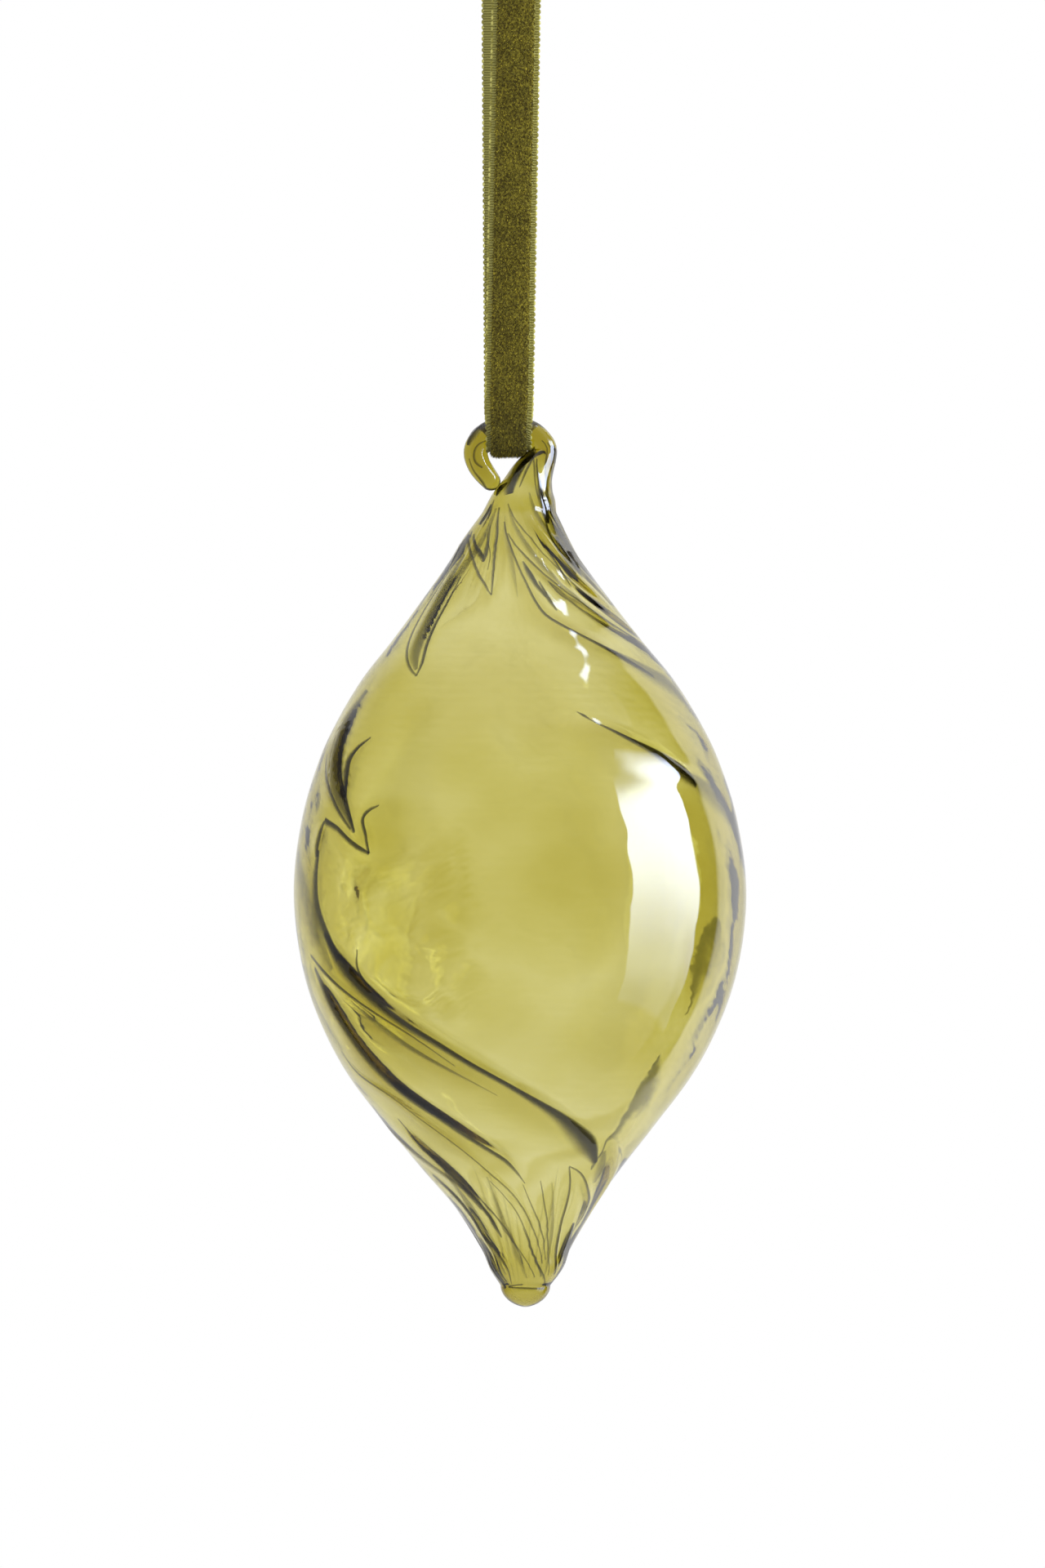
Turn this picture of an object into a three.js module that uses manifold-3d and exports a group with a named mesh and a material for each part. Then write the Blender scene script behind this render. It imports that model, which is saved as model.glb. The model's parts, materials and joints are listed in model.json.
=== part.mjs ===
// A blown glass drop ornament with twisted ends, hung by a velvet ribbon from a hook drawn out of its neck.
// Millimetres, +Z up. The origin is the middle of the peg or twig that the ribbon's loop hangs on.
// The front of the ornament faces -Y.
import * as THREE from "three";
import { mergeVertices } from "three/addons/utils/BufferGeometryUtils.js";
import Module from "manifold-3d";

const wasm = await Module();
wasm.setup();

// Glass drop. Heights are above the tip.
const bodyRadius = 30.8; // at the widest
const widestHeight = 57;
const wallThickness = 0.8;
const tipRadius = 3.4; // of the drawn-out tip, where the hollow ends
const tipHeight = 3; // solid bead under the hollow
const neckRadius = 5.1; // where the hollow ends and the solid neck starts
const neckHeight = 108;
const bodyTwist = 216; // degrees from the tip to the neck, even all the way up, turning left as it rises
const tipSwirl = 31; // degrees of sharper twist in the lower cone, each side of its middle
const tipSwirlHeight = 24;
const neckSwirl = 44; // and in the upper cone
const neckSwirlHeight = 86;
const swirlLength = 9;

// The drop's outline from its widest level to where the hollow ends: how far along, and how much of the
// radius is still left there over that of the end.
const lowerOutline = [
  [0, 1],
  [0.17, 0.97],
  [0.31, 0.892],
  [0.46, 0.745],
  [0.61, 0.525],
  [0.71, 0.366],
  [0.81, 0.212],
  [0.91, 0.094],
  [0.96, 0.055],
  [1, 0],
];
const upperOutline = [
  [0, 1],
  [0.19, 0.952],
  [0.35, 0.853],
  [0.45, 0.757],
  [0.56, 0.622],
  [0.66, 0.464],
  [0.77, 0.3],
  [0.87, 0.154],
  [0.93, 0.083],
  [1, 0],
];
// It isn't quite straight: mm to the right of its axis, at shares of the neck's height.
const drift = [
  [0, 0.4],
  [0.04, 0.8],
  [0.1, 0.75],
  [0.19, 0.1],
  [0.5, 0],
  [0.74, -0.25],
  [0.89, -0.55],
  [0.96, -0.7],
  [1, -0.15],
];

// Hook, drawn out of the neck and bent over to the left until its end rests on the shoulder
const rodRadius = 1.65;
const rodEndRadius = 1.35;
const archHalfWidth = 4.7; // middle of the eye to the rod's centreline
const archRise = 2.9;
const archHeight = 8.6; // solid neck's foot to the middle of the arch
const hookLean = 1.35; // the eye stands this far left of the drop's axis
const restDepth = 4.2; // the hook's end stops this far below the middle of the arch
const restReach = 2.65; // and this far left of it

// Ribbon
const ribbonWidth = 6;
const ribbonThickness = 1; // ground weave and pile together
const ribbonGap = 0.3; // between the ribbon and the peg
const bightGap = 0.65; // between the ribbon and the hook's rod, which turns in it
const strandLength = 65.3; // peg to the hook's rod
const pegDiameter = 4; // what the loop hangs on
const frontShift = 1.2; // the front strand starts this far right at the peg
const backShift = -0.95; // and the back strand this far left
const bightWidth = 4.3; // the ribbon is drawn in where it goes through the eye
const bightThickness = 1.5; // and bunches up
const bightShift = -0.75; // and lies left of the middle of the eye
const bightHeight = 7; // how far up each side of the rod the drawn-in part runs
const jointGap = 0.3; // between the stretches of the ribbon
const knotHeight = 7.2;
const knotWidth = 8.4;
const knotDepth = 5.6;
const knotLift = 3.4; // peg to the underside of the knot
const knotSlant = 0.45; // of half its height, how far the last turn climbs and falls
const knotTurnRise = 0.09; // of its radius, how far that turn stands out
const knotTurnWidth = 0.34; // of half its height, how wide that turn is
const knotGroove = 0.6; // and how far over it the groove beside it lies
const knotGrooveWidth = 0.2;
const knotFullness = 0.42; // less is fuller, towards its flats
const tailLength = 11;
const tailSpread = 15; // degrees
const tailCut = 2.4; // how much longer one edge is than the other
const tailGather = 0.62; // of its width where it leaves the knot
const tailFlare = 0.1; // how far the two tails lean apart, front to back, for each mm up

const rad = THREE.MathUtils.degToRad;
const smooth = (a, b, x) => THREE.MathUtils.smoothstep(x, a, b);

// Ribs of thicker glass, left by the mould and twisted with the ends. Levels are shares of the neck's height.
// angle is the rib's place in degrees, seen from above, at the level "at". It fades out at low and high.
// turn is the share of the twist that it follows, and rise how far it stands out.
const ribs = [
  { at: 0.185, angle: -38, turn: 1, low: 0.02, high: 0.63, rise: 1.3 },
  { at: 0.185, angle: -97, turn: 0.68, low: 0.02, high: 0.56, rise: 1.2 },
  { at: 0.185, angle: -123, turn: 0.6, low: 0.02, high: 0.46, rise: 0.8 },
  { at: 0.185, angle: -145, turn: 0.6, low: 0.02, high: 0.42, rise: 0.9 },
  { at: 0.185, angle: -167, turn: 0.6, low: 0.02, high: 0.46, rise: 0.9 },
  { at: 0.185, angle: 155, turn: 0.8, low: 0.02, high: 0.43, rise: 0.9 },
  { at: 0.185, angle: 110, turn: 0.9, low: 0.02, high: 0.37, rise: 0.9 },
  { at: 0.185, angle: 60, turn: 1, low: 0.02, high: 0.41, rise: 1 },
  { at: 0.185, angle: -3, turn: 1, low: 0.02, high: 0.3, rise: 1 },
  { at: 0.695, angle: -48, turn: 1.2, low: 0.52, high: 0.78, rise: 1 },
  { at: 0.89, angle: -81, turn: 1, low: 0.65, high: 1.2, rise: 1.1 },
  { at: 0.89, angle: -60, turn: 1, low: 0.74, high: 1.2, rise: 0.7 },
  { at: 0.89, angle: -40, turn: 1, low: 0.78, high: 1.2, rise: 0.7 },
  { at: 0.89, angle: -15, turn: 0.9, low: 0.69, high: 1.2, rise: 1 },
  { at: 0.89, angle: 25, turn: 0.9, low: 0.67, high: 1.2, rise: 0.9 },
  { at: 0.89, angle: 70, turn: 0.9, low: 0.65, high: 1.2, rise: 1 },
  { at: 0.89, angle: 115, turn: 0.8, low: 0.7, high: 1.2, rise: 0.9 },
  { at: 0.89, angle: 160, turn: 0.6, low: 0.74, high: 1.2, rise: 0.9 },
  { at: 0.89, angle: -144, turn: 0.35, low: 0.76, high: 1.2, rise: 0.9 },
  { at: 0.89, angle: -108, turn: 0.4, low: 0.87, high: 1.2, rise: 0.7 },
];
const ribSteepSide = 1.8; // across a rib, on the side that the twist pulls over
const ribGentleSide = 4.5;
const ribFade = 9; // length over which a rib dies away
const ribRoom = 16; // radius under which the ribs crowd together and thin out
const innerShare = 0.45; // how much of a rib shows inside
const outerFacets = 68; // round the drop
const innerFacets = 36; // round its hollow and its bead

// Degrees that the glass has been turned at a height, less at the top because it turns left as it rises.
function twist(height) {
  const swirl = (degrees, middle) => degrees * Math.tanh((height - middle) / swirlLength);
  const even = (bodyTwist * height) / neckHeight;
  return -(even + swirl(tipSwirl, tipSwirlHeight) + swirl(neckSwirl, neckSwirlHeight));
}

// A smooth line through [place, value] pairs, read at one place.
function along(pairs, place) {
  const slope = (i) => {
    const [a, b] = [pairs[Math.max(i - 1, 0)], pairs[Math.min(i + 1, pairs.length - 1)]];
    return (b[1] - a[1]) / (b[0] - a[0]);
  };
  const found = pairs.findIndex(([at]) => at > place);
  const next = found < 0 ? pairs.length - 1 : Math.max(found, 1);
  const [low, high] = [pairs[next - 1], pairs[next]];
  const span = high[0] - low[0];
  const t = THREE.MathUtils.clamp((place - low[0]) / span, 0, 1);
  const [t2, t3] = [t * t, t * t * t];
  const starts = (2 * t3 - 3 * t2 + 1) * low[1] + (t3 - 2 * t2 + t) * span * slope(next - 1);
  return starts + (3 * t2 - 2 * t3) * high[1] + (t3 - t2) * span * slope(next);
}

// Radius of the drop without its ribs.
function plainRadius(height) {
  const lower = height < widestHeight;
  const [endHeight, endRadius] = lower ? [tipHeight, tipRadius] : [neckHeight, neckRadius];
  const share = (height - widestHeight) / (endHeight - widestHeight);
  return endRadius + (bodyRadius - endRadius) * along(lower ? lowerOutline : upperOutline, share);
}

// How far the ribs stand out at a height and an angle in radians. The glass between gives what they take.
function ribRelief(height, angle) {
  const radius = plainRadius(height);
  const room = Math.min(1, radius / ribRoom);
  let relief = 0;
  for (const rib of ribs) {
    const place = rad(rib.angle + rib.turn * (twist(height) - twist(rib.at * neckHeight)));
    const away = THREE.MathUtils.euclideanModulo(angle - place + Math.PI, 2 * Math.PI) - Math.PI;
    const across = (away * radius) / ((away < 0 ? ribGentleSide : ribSteepSide) * room);
    const [low, high] = [rib.low * neckHeight, rib.high * neckHeight];
    const there = smooth(low, low + ribFade, height) * (1 - smooth(high - ribFade, high, height));
    const mean = ((ribSteepSide + ribGentleSide) * room) / (4 * Math.sqrt(Math.PI) * radius);
    relief += rib.rise * there * Math.pow(room, 0.8) * (Math.exp(-across * across) - mean);
  }
  return relief;
}

// A closed solid through rings that all have the same number of points, with a flat cap at each end.
function loft(rings) {
  const around = rings[0].length;
  const points = rings.flat();
  const faces = [];
  for (let i = 0; i + 1 < rings.length; i++)
    for (let j = 0; j < around; j++) {
      const next = (j + 1) % around;
      const [a, b, c, d] = [i * around + j, i * around + next, (i + 1) * around + next, (i + 1) * around + j];
      faces.push(a, b, c, a, c, d);
    }
  const last = (rings.length - 1) * around;
  const middle = (ring) => ring.reduce((sum, p) => sum.add(p), new THREE.Vector3()).divideScalar(around);
  points.push(middle(rings[0]), middle(rings.at(-1)));
  for (let j = 0; j < around; j++) {
    const next = (j + 1) % around;
    faces.push(points.length - 2, next, j, points.length - 1, last + j, last + next);
  }
  const geometry = new THREE.BufferGeometry().setFromPoints(points);
  geometry.setIndex(faces);
  return geometry;
}

function solid(geometry) {
  const bare = geometry.clone();
  bare.deleteAttribute("normal");
  bare.deleteAttribute("uv");
  const merged = mergeVertices(bare, 1e-4);
  const mesh = new wasm.Mesh({
    numProp: 3,
    vertProperties: merged.attributes.position.array,
    triVerts: new Uint32Array(merged.index.array),
  });
  return new wasm.Manifold(mesh);
}

function geometryOf(body) {
  const mesh = body.getMesh();
  const geometry = new THREE.BufferGeometry();
  geometry.setAttribute("position", new THREE.BufferAttribute(new Float32Array(mesh.vertProperties), 3));
  geometry.setIndex(new THREE.BufferAttribute(new Uint32Array(mesh.triVerts), 1));
  geometry.computeVertexNormals();
  return geometry;
}

const heights = (low, high, steps) =>
  Array.from({ length: steps + 1 }, (_, i) => low + ((high - low) * i) / steps);

// One level ring of the drop, turned with the twist so that the facets follow the ribs.
function dropRing(height, inset, around, share = 1) {
  return Array.from({ length: around }, (_, j) => {
    const angle = (2 * Math.PI * j) / around + rad(twist(height));
    const radius = plainRadius(height) - inset + share * ribRelief(height, angle);
    const middle = along(drift, height / neckHeight);
    return new THREE.Vector3(middle + radius * Math.cos(angle), radius * Math.sin(angle), height);
  });
}

function bubble() {
  const outside = loft(heights(tipHeight, neckHeight, 50).map((height) => dropRing(height, 0, outerFacets)));
  const past = 1; // the hollow is cut a little past both ends
  const levels = heights(tipHeight - past, neckHeight + past, 30);
  const inside = loft(levels.map((height) => dropRing(height, wallThickness, innerFacets, innerShare)));
  return geometryOf(solid(outside).subtract(solid(inside)));
}

function tipBead() {
  const levels = heights(0.03, 1, 7);
  const roundness = 0.6;
  const rim = dropRing(tipHeight, 0, innerFacets);
  const middle = new THREE.Vector3(along(drift, tipHeight / neckHeight), 0, tipHeight);
  const rings = levels.map((level) => {
    const share = Math.pow(1 - (1 - level) * (1 - level), roundness);
    return rim.map((p) => p.clone().sub(middle).multiplyScalar(share).add(middle).setZ(tipHeight * level));
  });
  return loft(rings);
}

// The hook's centreline, with its radius at each point, from the neck's foot to the hook's end.
function hookLine() {
  const foot = neckRadius;
  const start = along(drift, 1);
  const right = archHalfWidth - hookLean - start;
  const left = -hookLean - archHalfWidth;
  const middle = neckHeight + archHeight;
  const neck = (across, up, radius) => [start + across * right, neckHeight + up * archHeight, radius];
  const arch = (degrees) => [
    -hookLean + archHalfWidth * Math.cos(rad(degrees)),
    middle + archRise * Math.sin(rad(degrees)),
    rodRadius,
  ];
  const inwards = archHalfWidth - restReach;
  const leg = (inward, down, radius) => [left + inward * inwards, middle - down * restDepth, radius];
  return [
    neck(0, 0, foot),
    neck(0.25, 0.24, 0.79 * foot),
    neck(0.49, 0.46, 0.63 * foot),
    neck(0.74, 0.69, 0.49 * foot),
    neck(0.91, 0.86, 1.2 * rodRadius),
    neck(1, 1.01, rodRadius),
    neck(0.87, 1.12, rodRadius),
    arch(50),
    arch(70),
    arch(90),
    arch(110),
    arch(130),
    leg(0.19, -0.21, rodRadius),
    leg(0, 0.1, rodRadius),
    leg(0.19, 0.45, 0.97 * rodRadius),
    leg(0.57, 0.74, 0.92 * rodRadius),
    leg(1, 1, rodEndRadius),
  ];
}

function hook() {
  const line = hookLine();
  const spine = new THREE.CatmullRomCurve3(
    line.map(([x, z]) => new THREE.Vector3(x, 0, z)),
    false,
    "centripetal",
  );
  const around = 20;
  const steps = 48;
  const rings = [];
  for (let i = 0; i <= steps; i++) {
    const share = i / steps;
    const place = spine.getPoint(share);
    const ahead = i === 0 ? new THREE.Vector3(0, 0, 1) : spine.getTangent(share);
    const across = new THREE.Vector3(0, 1, 0).cross(ahead).normalize();
    const slot = Math.min(share * (line.length - 1), line.length - 1.000001);
    const k = Math.floor(slot);
    const radius = THREE.MathUtils.lerp(line[k][2], line[k + 1][2], slot - k);
    const fade = 1 - smooth(0, 0.28, share); // the ribs run out where the rod starts
    rings.push(
      Array.from({ length: around }, (_, j) => {
        const angle = (2 * Math.PI * j) / around;
        const relief = fade * ribRelief(neckHeight, angle);
        return place
          .clone()
          .addScaledVector(across, (radius + relief) * Math.cos(angle))
          .addScaledVector(new THREE.Vector3(0, 1, 0), (radius + relief) * Math.sin(angle));
      }),
    );
  }
  // The end is rounded off over two more rings.
  const end = spine.getPoint(1);
  const ahead = spine.getTangent(1);
  const rounding = [
    [0.55, 0.8],
    [0.9, 0.4],
  ];
  for (const [out, share] of rounding) {
    const drawnIn = (p) => p.clone().sub(end).multiplyScalar(share).add(end);
    rings.push(rings[steps].map((p) => drawnIn(p).addScaledVector(ahead, out * rodEndRadius)));
  }
  return loft(rings);
}

// Where a piece of the ribbon lies at a place across it: "across" runs from -0.5 to 0.5.
// Its section is flat with rounded edges. "centre" and "out" give its middle surface and the way it faces.
const section = [
  [-0.5, -0.5],
  [-0.46, -1],
  [-0.23, -1],
  [0, -1],
  [0.23, -1],
  [0.46, -1],
  [0.5, -0.5],
  [0.5, 0.5],
  [0.46, 1],
  [0.23, 1],
  [0, 1],
  [-0.23, 1],
  [-0.46, 1],
  [-0.5, 0.5],
];
const ribbonRing = (place, thickness = ribbonThickness) =>
  section.map(([across, side]) => {
    const { centre, out } = place(across);
    return centre.clone().addScaledVector(out, (side * thickness) / 2);
  });

const rodLevel = -strandLength; // the rod's centreline in the middle of the arch
const bightTop = rodLevel + bightHeight;
const rodStandoff = rodRadius + bightGap + bightThickness / 2;
const pegStandoff = pegDiameter / 2 + ribbonGap + ribbonThickness / 2;
const knotStandoff = ribbonThickness / 2 + ribbonGap / 2;
const facing = (side) => new THREE.Vector3(0, side, 0);

// Middle and width of a strand at a height. side is -1 in front and 1 behind.
function strandAt(side, z) {
  const down = z / rodLevel;
  const x = THREE.MathUtils.lerp(side < 0 ? frontShift : backShift, bightShift, down);
  const y = THREE.MathUtils.lerp(pegStandoff, rodStandoff, THREE.MathUtils.clamp(down, 0, 1));
  const tight = smooth(0, knotLift, z); // the strands come together under the knot
  return { x, y: side * THREE.MathUtils.lerp(y, knotStandoff, tight) };
}

// One strand, from under the knot, past the peg and down to the drawn-in part.
function strand(side) {
  const levels = [
    ...heights(knotLift - jointGap, 0, 4).slice(0, -1),
    ...heights(0, bightTop + jointGap, 14),
  ];
  const rings = levels.map((z) => {
    const { x, y } = strandAt(side, z);
    const centre = (across) => new THREE.Vector3(x + across * ribbonWidth, y, z);
    const place = (across) => ({ centre: centre(across), out: facing(side) });
    return ribbonRing(place);
  });
  return loft(side < 0 ? rings : rings.reverse());
}

// The rod's centreline in the arch, x from its middle, and the way its outside faces there.
function archAt(x) {
  const rise = archRise * Math.sqrt(1 - (x / archHalfWidth) ** 2);
  return {
    centre: new THREE.Vector3(x, 0, rodLevel + rise - archRise),
    up: new THREE.Vector3(x / archHalfWidth ** 2, 0, rise / archRise ** 2).normalize(),
  };
}

// The drawn-in part: down in front, round under the rod and up behind, bent to the arch across its width.
function bight() {
  const rings = [];
  const fall = (z, side) => {
    const drawn = smooth(0, 1, (bightTop - z) / bightHeight);
    const { x, y } = strandAt(side, z);
    const width = THREE.MathUtils.lerp(ribbonWidth, bightWidth, drawn);
    const thickness = THREE.MathUtils.lerp(ribbonThickness, bightThickness, drawn);
    const place = (across) => {
      const sag = drawn * (archAt(bightShift + across * bightWidth).centre.z - rodLevel);
      return { centre: new THREE.Vector3(x + across * width, y, z + sag), out: facing(side) };
    };
    rings.push(ribbonRing(place, thickness));
  };
  const levels = heights(bightTop, rodLevel, 7).slice(0, -1);
  for (const z of levels) fall(z, -1);
  for (const degrees of heights(180, 360, 12)) {
    const place = (across) => {
      const { centre, up } = archAt(bightShift + across * bightWidth);
      const round = rad(degrees);
      const out = up.multiplyScalar(Math.sin(round)).addScaledVector(facing(1), Math.cos(round));
      return { centre: centre.addScaledVector(out, rodStandoff), out };
    };
    rings.push(ribbonRing(place, bightThickness));
  }
  for (const z of levels.reverse()) fall(z, 1);
  return loft(rings);
}

// Both ends tied together in one overhand knot: a ball of ribbon with the last turn lying slantwise over it.
function knot() {
  const around = 28;
  const poleShare = 0.3; // the flats on top and below, where the ribbon goes in
  const rings = heights(-1, 1, 14).map((level) => {
    const share = THREE.MathUtils.lerp(poleShare, 1, Math.pow(1 - level * level, knotFullness));
    return Array.from({ length: around }, (_, j) => {
      const angle = (2 * Math.PI * j) / around;
      const slant = level - knotSlant * Math.cos(angle);
      const ridge = Math.exp(-((slant / knotTurnWidth) ** 2));
      const groove = Math.exp(-(((slant - knotGroove) / knotGrooveWidth) ** 2));
      const turn = 1 + knotTurnRise * (ridge - groove);
      return new THREE.Vector3(
        (knotWidth / 2) * share * turn * Math.cos(angle),
        (knotDepth / 2) * share * turn * Math.sin(angle),
        knotLift + (knotHeight * (1 + level)) / 2,
      );
    });
  });
  return loft(rings);
}

// The ribbon's free end above the knot, leaning out to its side and cut off slantwise.
function tail(side) {
  const foot = knotLift + knotHeight + jointGap;
  const lean = side < 0 ? tailSpread : -tailSpread;
  const rings = heights(0, 1, 6).map((share) =>
    ribbonRing((across) => {
      const cut = tailLength + across * tailCut * (side < 0 ? 1 : -1);
      const up = share * cut;
      const bend = rad(lean) * share;
      const width = ribbonWidth * THREE.MathUtils.lerp(tailGather, 1, smooth(0, 0.5, share));
      const x = across * width + up * Math.sin(bend);
      const y = side * (knotStandoff + tailFlare * up);
      return { centre: new THREE.Vector3(x, y, foot + up * Math.cos(bend)), out: facing(side) };
    }),
  );
  return loft(side < 0 ? rings.reverse() : rings);
}

const glassLook = { color: 0xa9a84a, roughness: 0.05, metalness: 0, transparent: true, opacity: 0.6 };
const velvetLook = { color: 0x5c5318, roughness: 0.95, metalness: 0 };

function part(name, geometry, look) {
  const mesh = new THREE.Mesh(geometry, new THREE.MeshStandardMaterial(look));
  mesh.name = name;
  return mesh;
}

const glassDrop = new THREE.Group();
glassDrop.position.set(hookLean, 0, rodLevel - archRise - archHeight - neckHeight);
glassDrop.add(part("glass_bubble", bubble(), glassLook));
glassDrop.add(part("tip_bead", tipBead(), glassLook));
glassDrop.add(part("hanging_hook", hook(), glassLook));

const ribbon = new THREE.Group();
ribbon.add(part("ribbon_front_strand", strand(-1), velvetLook));
ribbon.add(part("ribbon_back_strand", strand(1), velvetLook));
ribbon.add(part("ribbon_bight", bight(), velvetLook));
ribbon.add(part("ribbon_knot", knot(), velvetLook));
ribbon.add(part("ribbon_front_tail", tail(-1), velvetLook));
ribbon.add(part("ribbon_back_tail", tail(1), velvetLook));

const ornament = new THREE.Group();
ornament.add(glassDrop, ribbon);
export default ornament;
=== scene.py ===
import json
import math

import bpy
import numpy as np
from mathutils import Vector
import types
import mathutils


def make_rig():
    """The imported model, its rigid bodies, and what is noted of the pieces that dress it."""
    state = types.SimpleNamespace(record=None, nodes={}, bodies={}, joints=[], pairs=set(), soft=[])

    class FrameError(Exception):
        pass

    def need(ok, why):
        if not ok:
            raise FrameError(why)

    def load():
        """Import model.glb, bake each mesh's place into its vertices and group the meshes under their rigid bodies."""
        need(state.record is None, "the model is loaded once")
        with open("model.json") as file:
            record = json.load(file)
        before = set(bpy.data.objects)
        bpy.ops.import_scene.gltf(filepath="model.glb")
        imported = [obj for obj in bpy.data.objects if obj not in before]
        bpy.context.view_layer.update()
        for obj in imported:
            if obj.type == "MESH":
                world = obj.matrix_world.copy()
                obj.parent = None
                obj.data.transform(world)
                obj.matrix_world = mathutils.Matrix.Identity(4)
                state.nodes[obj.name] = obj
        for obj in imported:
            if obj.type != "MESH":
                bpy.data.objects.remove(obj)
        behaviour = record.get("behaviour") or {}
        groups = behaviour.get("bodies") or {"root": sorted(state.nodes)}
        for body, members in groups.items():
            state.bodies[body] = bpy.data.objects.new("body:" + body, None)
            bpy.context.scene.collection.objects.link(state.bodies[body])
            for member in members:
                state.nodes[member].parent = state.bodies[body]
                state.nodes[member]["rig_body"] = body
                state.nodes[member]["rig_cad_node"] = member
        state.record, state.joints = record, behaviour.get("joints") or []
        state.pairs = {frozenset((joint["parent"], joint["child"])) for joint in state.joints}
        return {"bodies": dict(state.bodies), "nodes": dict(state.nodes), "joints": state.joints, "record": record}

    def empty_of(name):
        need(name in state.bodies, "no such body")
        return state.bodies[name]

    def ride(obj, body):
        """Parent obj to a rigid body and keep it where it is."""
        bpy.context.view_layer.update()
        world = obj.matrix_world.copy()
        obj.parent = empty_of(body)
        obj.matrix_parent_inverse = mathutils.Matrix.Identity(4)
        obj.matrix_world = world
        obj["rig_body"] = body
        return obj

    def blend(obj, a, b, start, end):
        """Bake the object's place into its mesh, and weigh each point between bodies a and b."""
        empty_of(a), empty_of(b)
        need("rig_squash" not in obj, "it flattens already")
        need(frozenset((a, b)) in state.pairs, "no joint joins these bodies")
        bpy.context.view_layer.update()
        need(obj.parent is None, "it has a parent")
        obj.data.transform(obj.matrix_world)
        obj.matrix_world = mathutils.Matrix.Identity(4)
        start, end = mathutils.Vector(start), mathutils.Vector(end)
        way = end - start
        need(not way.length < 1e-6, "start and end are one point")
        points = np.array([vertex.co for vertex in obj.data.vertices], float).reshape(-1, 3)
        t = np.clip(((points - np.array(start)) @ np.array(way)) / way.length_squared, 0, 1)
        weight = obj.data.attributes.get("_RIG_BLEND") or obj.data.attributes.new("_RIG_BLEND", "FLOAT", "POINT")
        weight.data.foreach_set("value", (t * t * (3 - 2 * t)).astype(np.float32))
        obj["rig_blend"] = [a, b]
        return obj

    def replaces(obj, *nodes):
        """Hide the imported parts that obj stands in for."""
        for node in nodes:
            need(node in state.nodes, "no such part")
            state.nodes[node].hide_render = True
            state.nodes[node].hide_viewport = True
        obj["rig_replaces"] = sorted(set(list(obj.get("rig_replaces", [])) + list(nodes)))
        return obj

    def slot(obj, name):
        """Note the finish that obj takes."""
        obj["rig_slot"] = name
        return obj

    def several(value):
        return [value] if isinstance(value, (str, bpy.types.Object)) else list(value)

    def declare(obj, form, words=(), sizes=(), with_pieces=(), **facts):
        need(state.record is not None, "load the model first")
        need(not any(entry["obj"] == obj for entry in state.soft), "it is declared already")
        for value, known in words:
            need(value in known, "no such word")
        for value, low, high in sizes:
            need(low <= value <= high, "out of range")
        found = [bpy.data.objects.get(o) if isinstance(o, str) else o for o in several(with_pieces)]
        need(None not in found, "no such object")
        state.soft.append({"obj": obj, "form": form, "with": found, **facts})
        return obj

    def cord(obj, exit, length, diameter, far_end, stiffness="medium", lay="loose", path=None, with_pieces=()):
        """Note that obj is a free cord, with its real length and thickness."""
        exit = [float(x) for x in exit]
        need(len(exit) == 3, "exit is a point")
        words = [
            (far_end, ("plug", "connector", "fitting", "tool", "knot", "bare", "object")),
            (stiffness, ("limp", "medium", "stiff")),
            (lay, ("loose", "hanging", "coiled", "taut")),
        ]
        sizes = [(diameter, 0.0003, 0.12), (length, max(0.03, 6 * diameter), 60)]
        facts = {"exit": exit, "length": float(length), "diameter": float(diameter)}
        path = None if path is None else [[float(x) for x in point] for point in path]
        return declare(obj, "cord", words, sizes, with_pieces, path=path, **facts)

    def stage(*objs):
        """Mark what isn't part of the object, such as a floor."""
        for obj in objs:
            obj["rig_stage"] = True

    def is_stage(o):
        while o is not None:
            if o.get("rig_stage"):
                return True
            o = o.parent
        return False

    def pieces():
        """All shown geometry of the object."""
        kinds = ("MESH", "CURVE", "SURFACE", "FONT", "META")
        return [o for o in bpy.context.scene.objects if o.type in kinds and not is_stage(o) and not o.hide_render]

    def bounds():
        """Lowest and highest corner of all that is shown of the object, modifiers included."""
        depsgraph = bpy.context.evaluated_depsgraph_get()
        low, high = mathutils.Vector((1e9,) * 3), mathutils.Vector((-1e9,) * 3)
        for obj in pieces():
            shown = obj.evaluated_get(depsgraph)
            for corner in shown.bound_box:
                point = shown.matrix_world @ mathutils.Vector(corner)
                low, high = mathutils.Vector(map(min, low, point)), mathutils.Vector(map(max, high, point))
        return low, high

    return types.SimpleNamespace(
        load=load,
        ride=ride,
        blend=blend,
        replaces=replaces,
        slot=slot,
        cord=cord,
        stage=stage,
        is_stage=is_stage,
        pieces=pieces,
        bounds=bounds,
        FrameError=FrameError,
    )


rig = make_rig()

# A blown glass drop ornament with twisted ends on a velvet ribbon. The frame is in metres, the tables in mm.
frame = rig.load()
cad_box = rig.bounds()
MM = 0.001


def box_of(corners):
    return [list(corner) for corner in corners]


# Camera: a long lens, level with the middle of the picture, looking along +Y.
LENS_MM = 150
DISTANCE = 0.8889
PICTURE_CENTRE = (0.00167, -0.11363)

camera = bpy.data.objects.new("camera", bpy.data.cameras.new("camera"))
bpy.context.scene.collection.objects.link(camera)
camera.data.lens = LENS_MM
camera.location = (PICTURE_CENTRE[0], -DISTANCE, PICTURE_CENTRE[1])
camera.rotation_euler = (math.pi / 2, 0, 0)
bpy.context.scene.camera = camera


# Shared helpers.


def smooth_step(low, high, x):
    t = np.clip((np.asarray(x, float) - low) / (high - low), 0, 1)
    return t * t * (3 - 2 * t)


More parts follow.
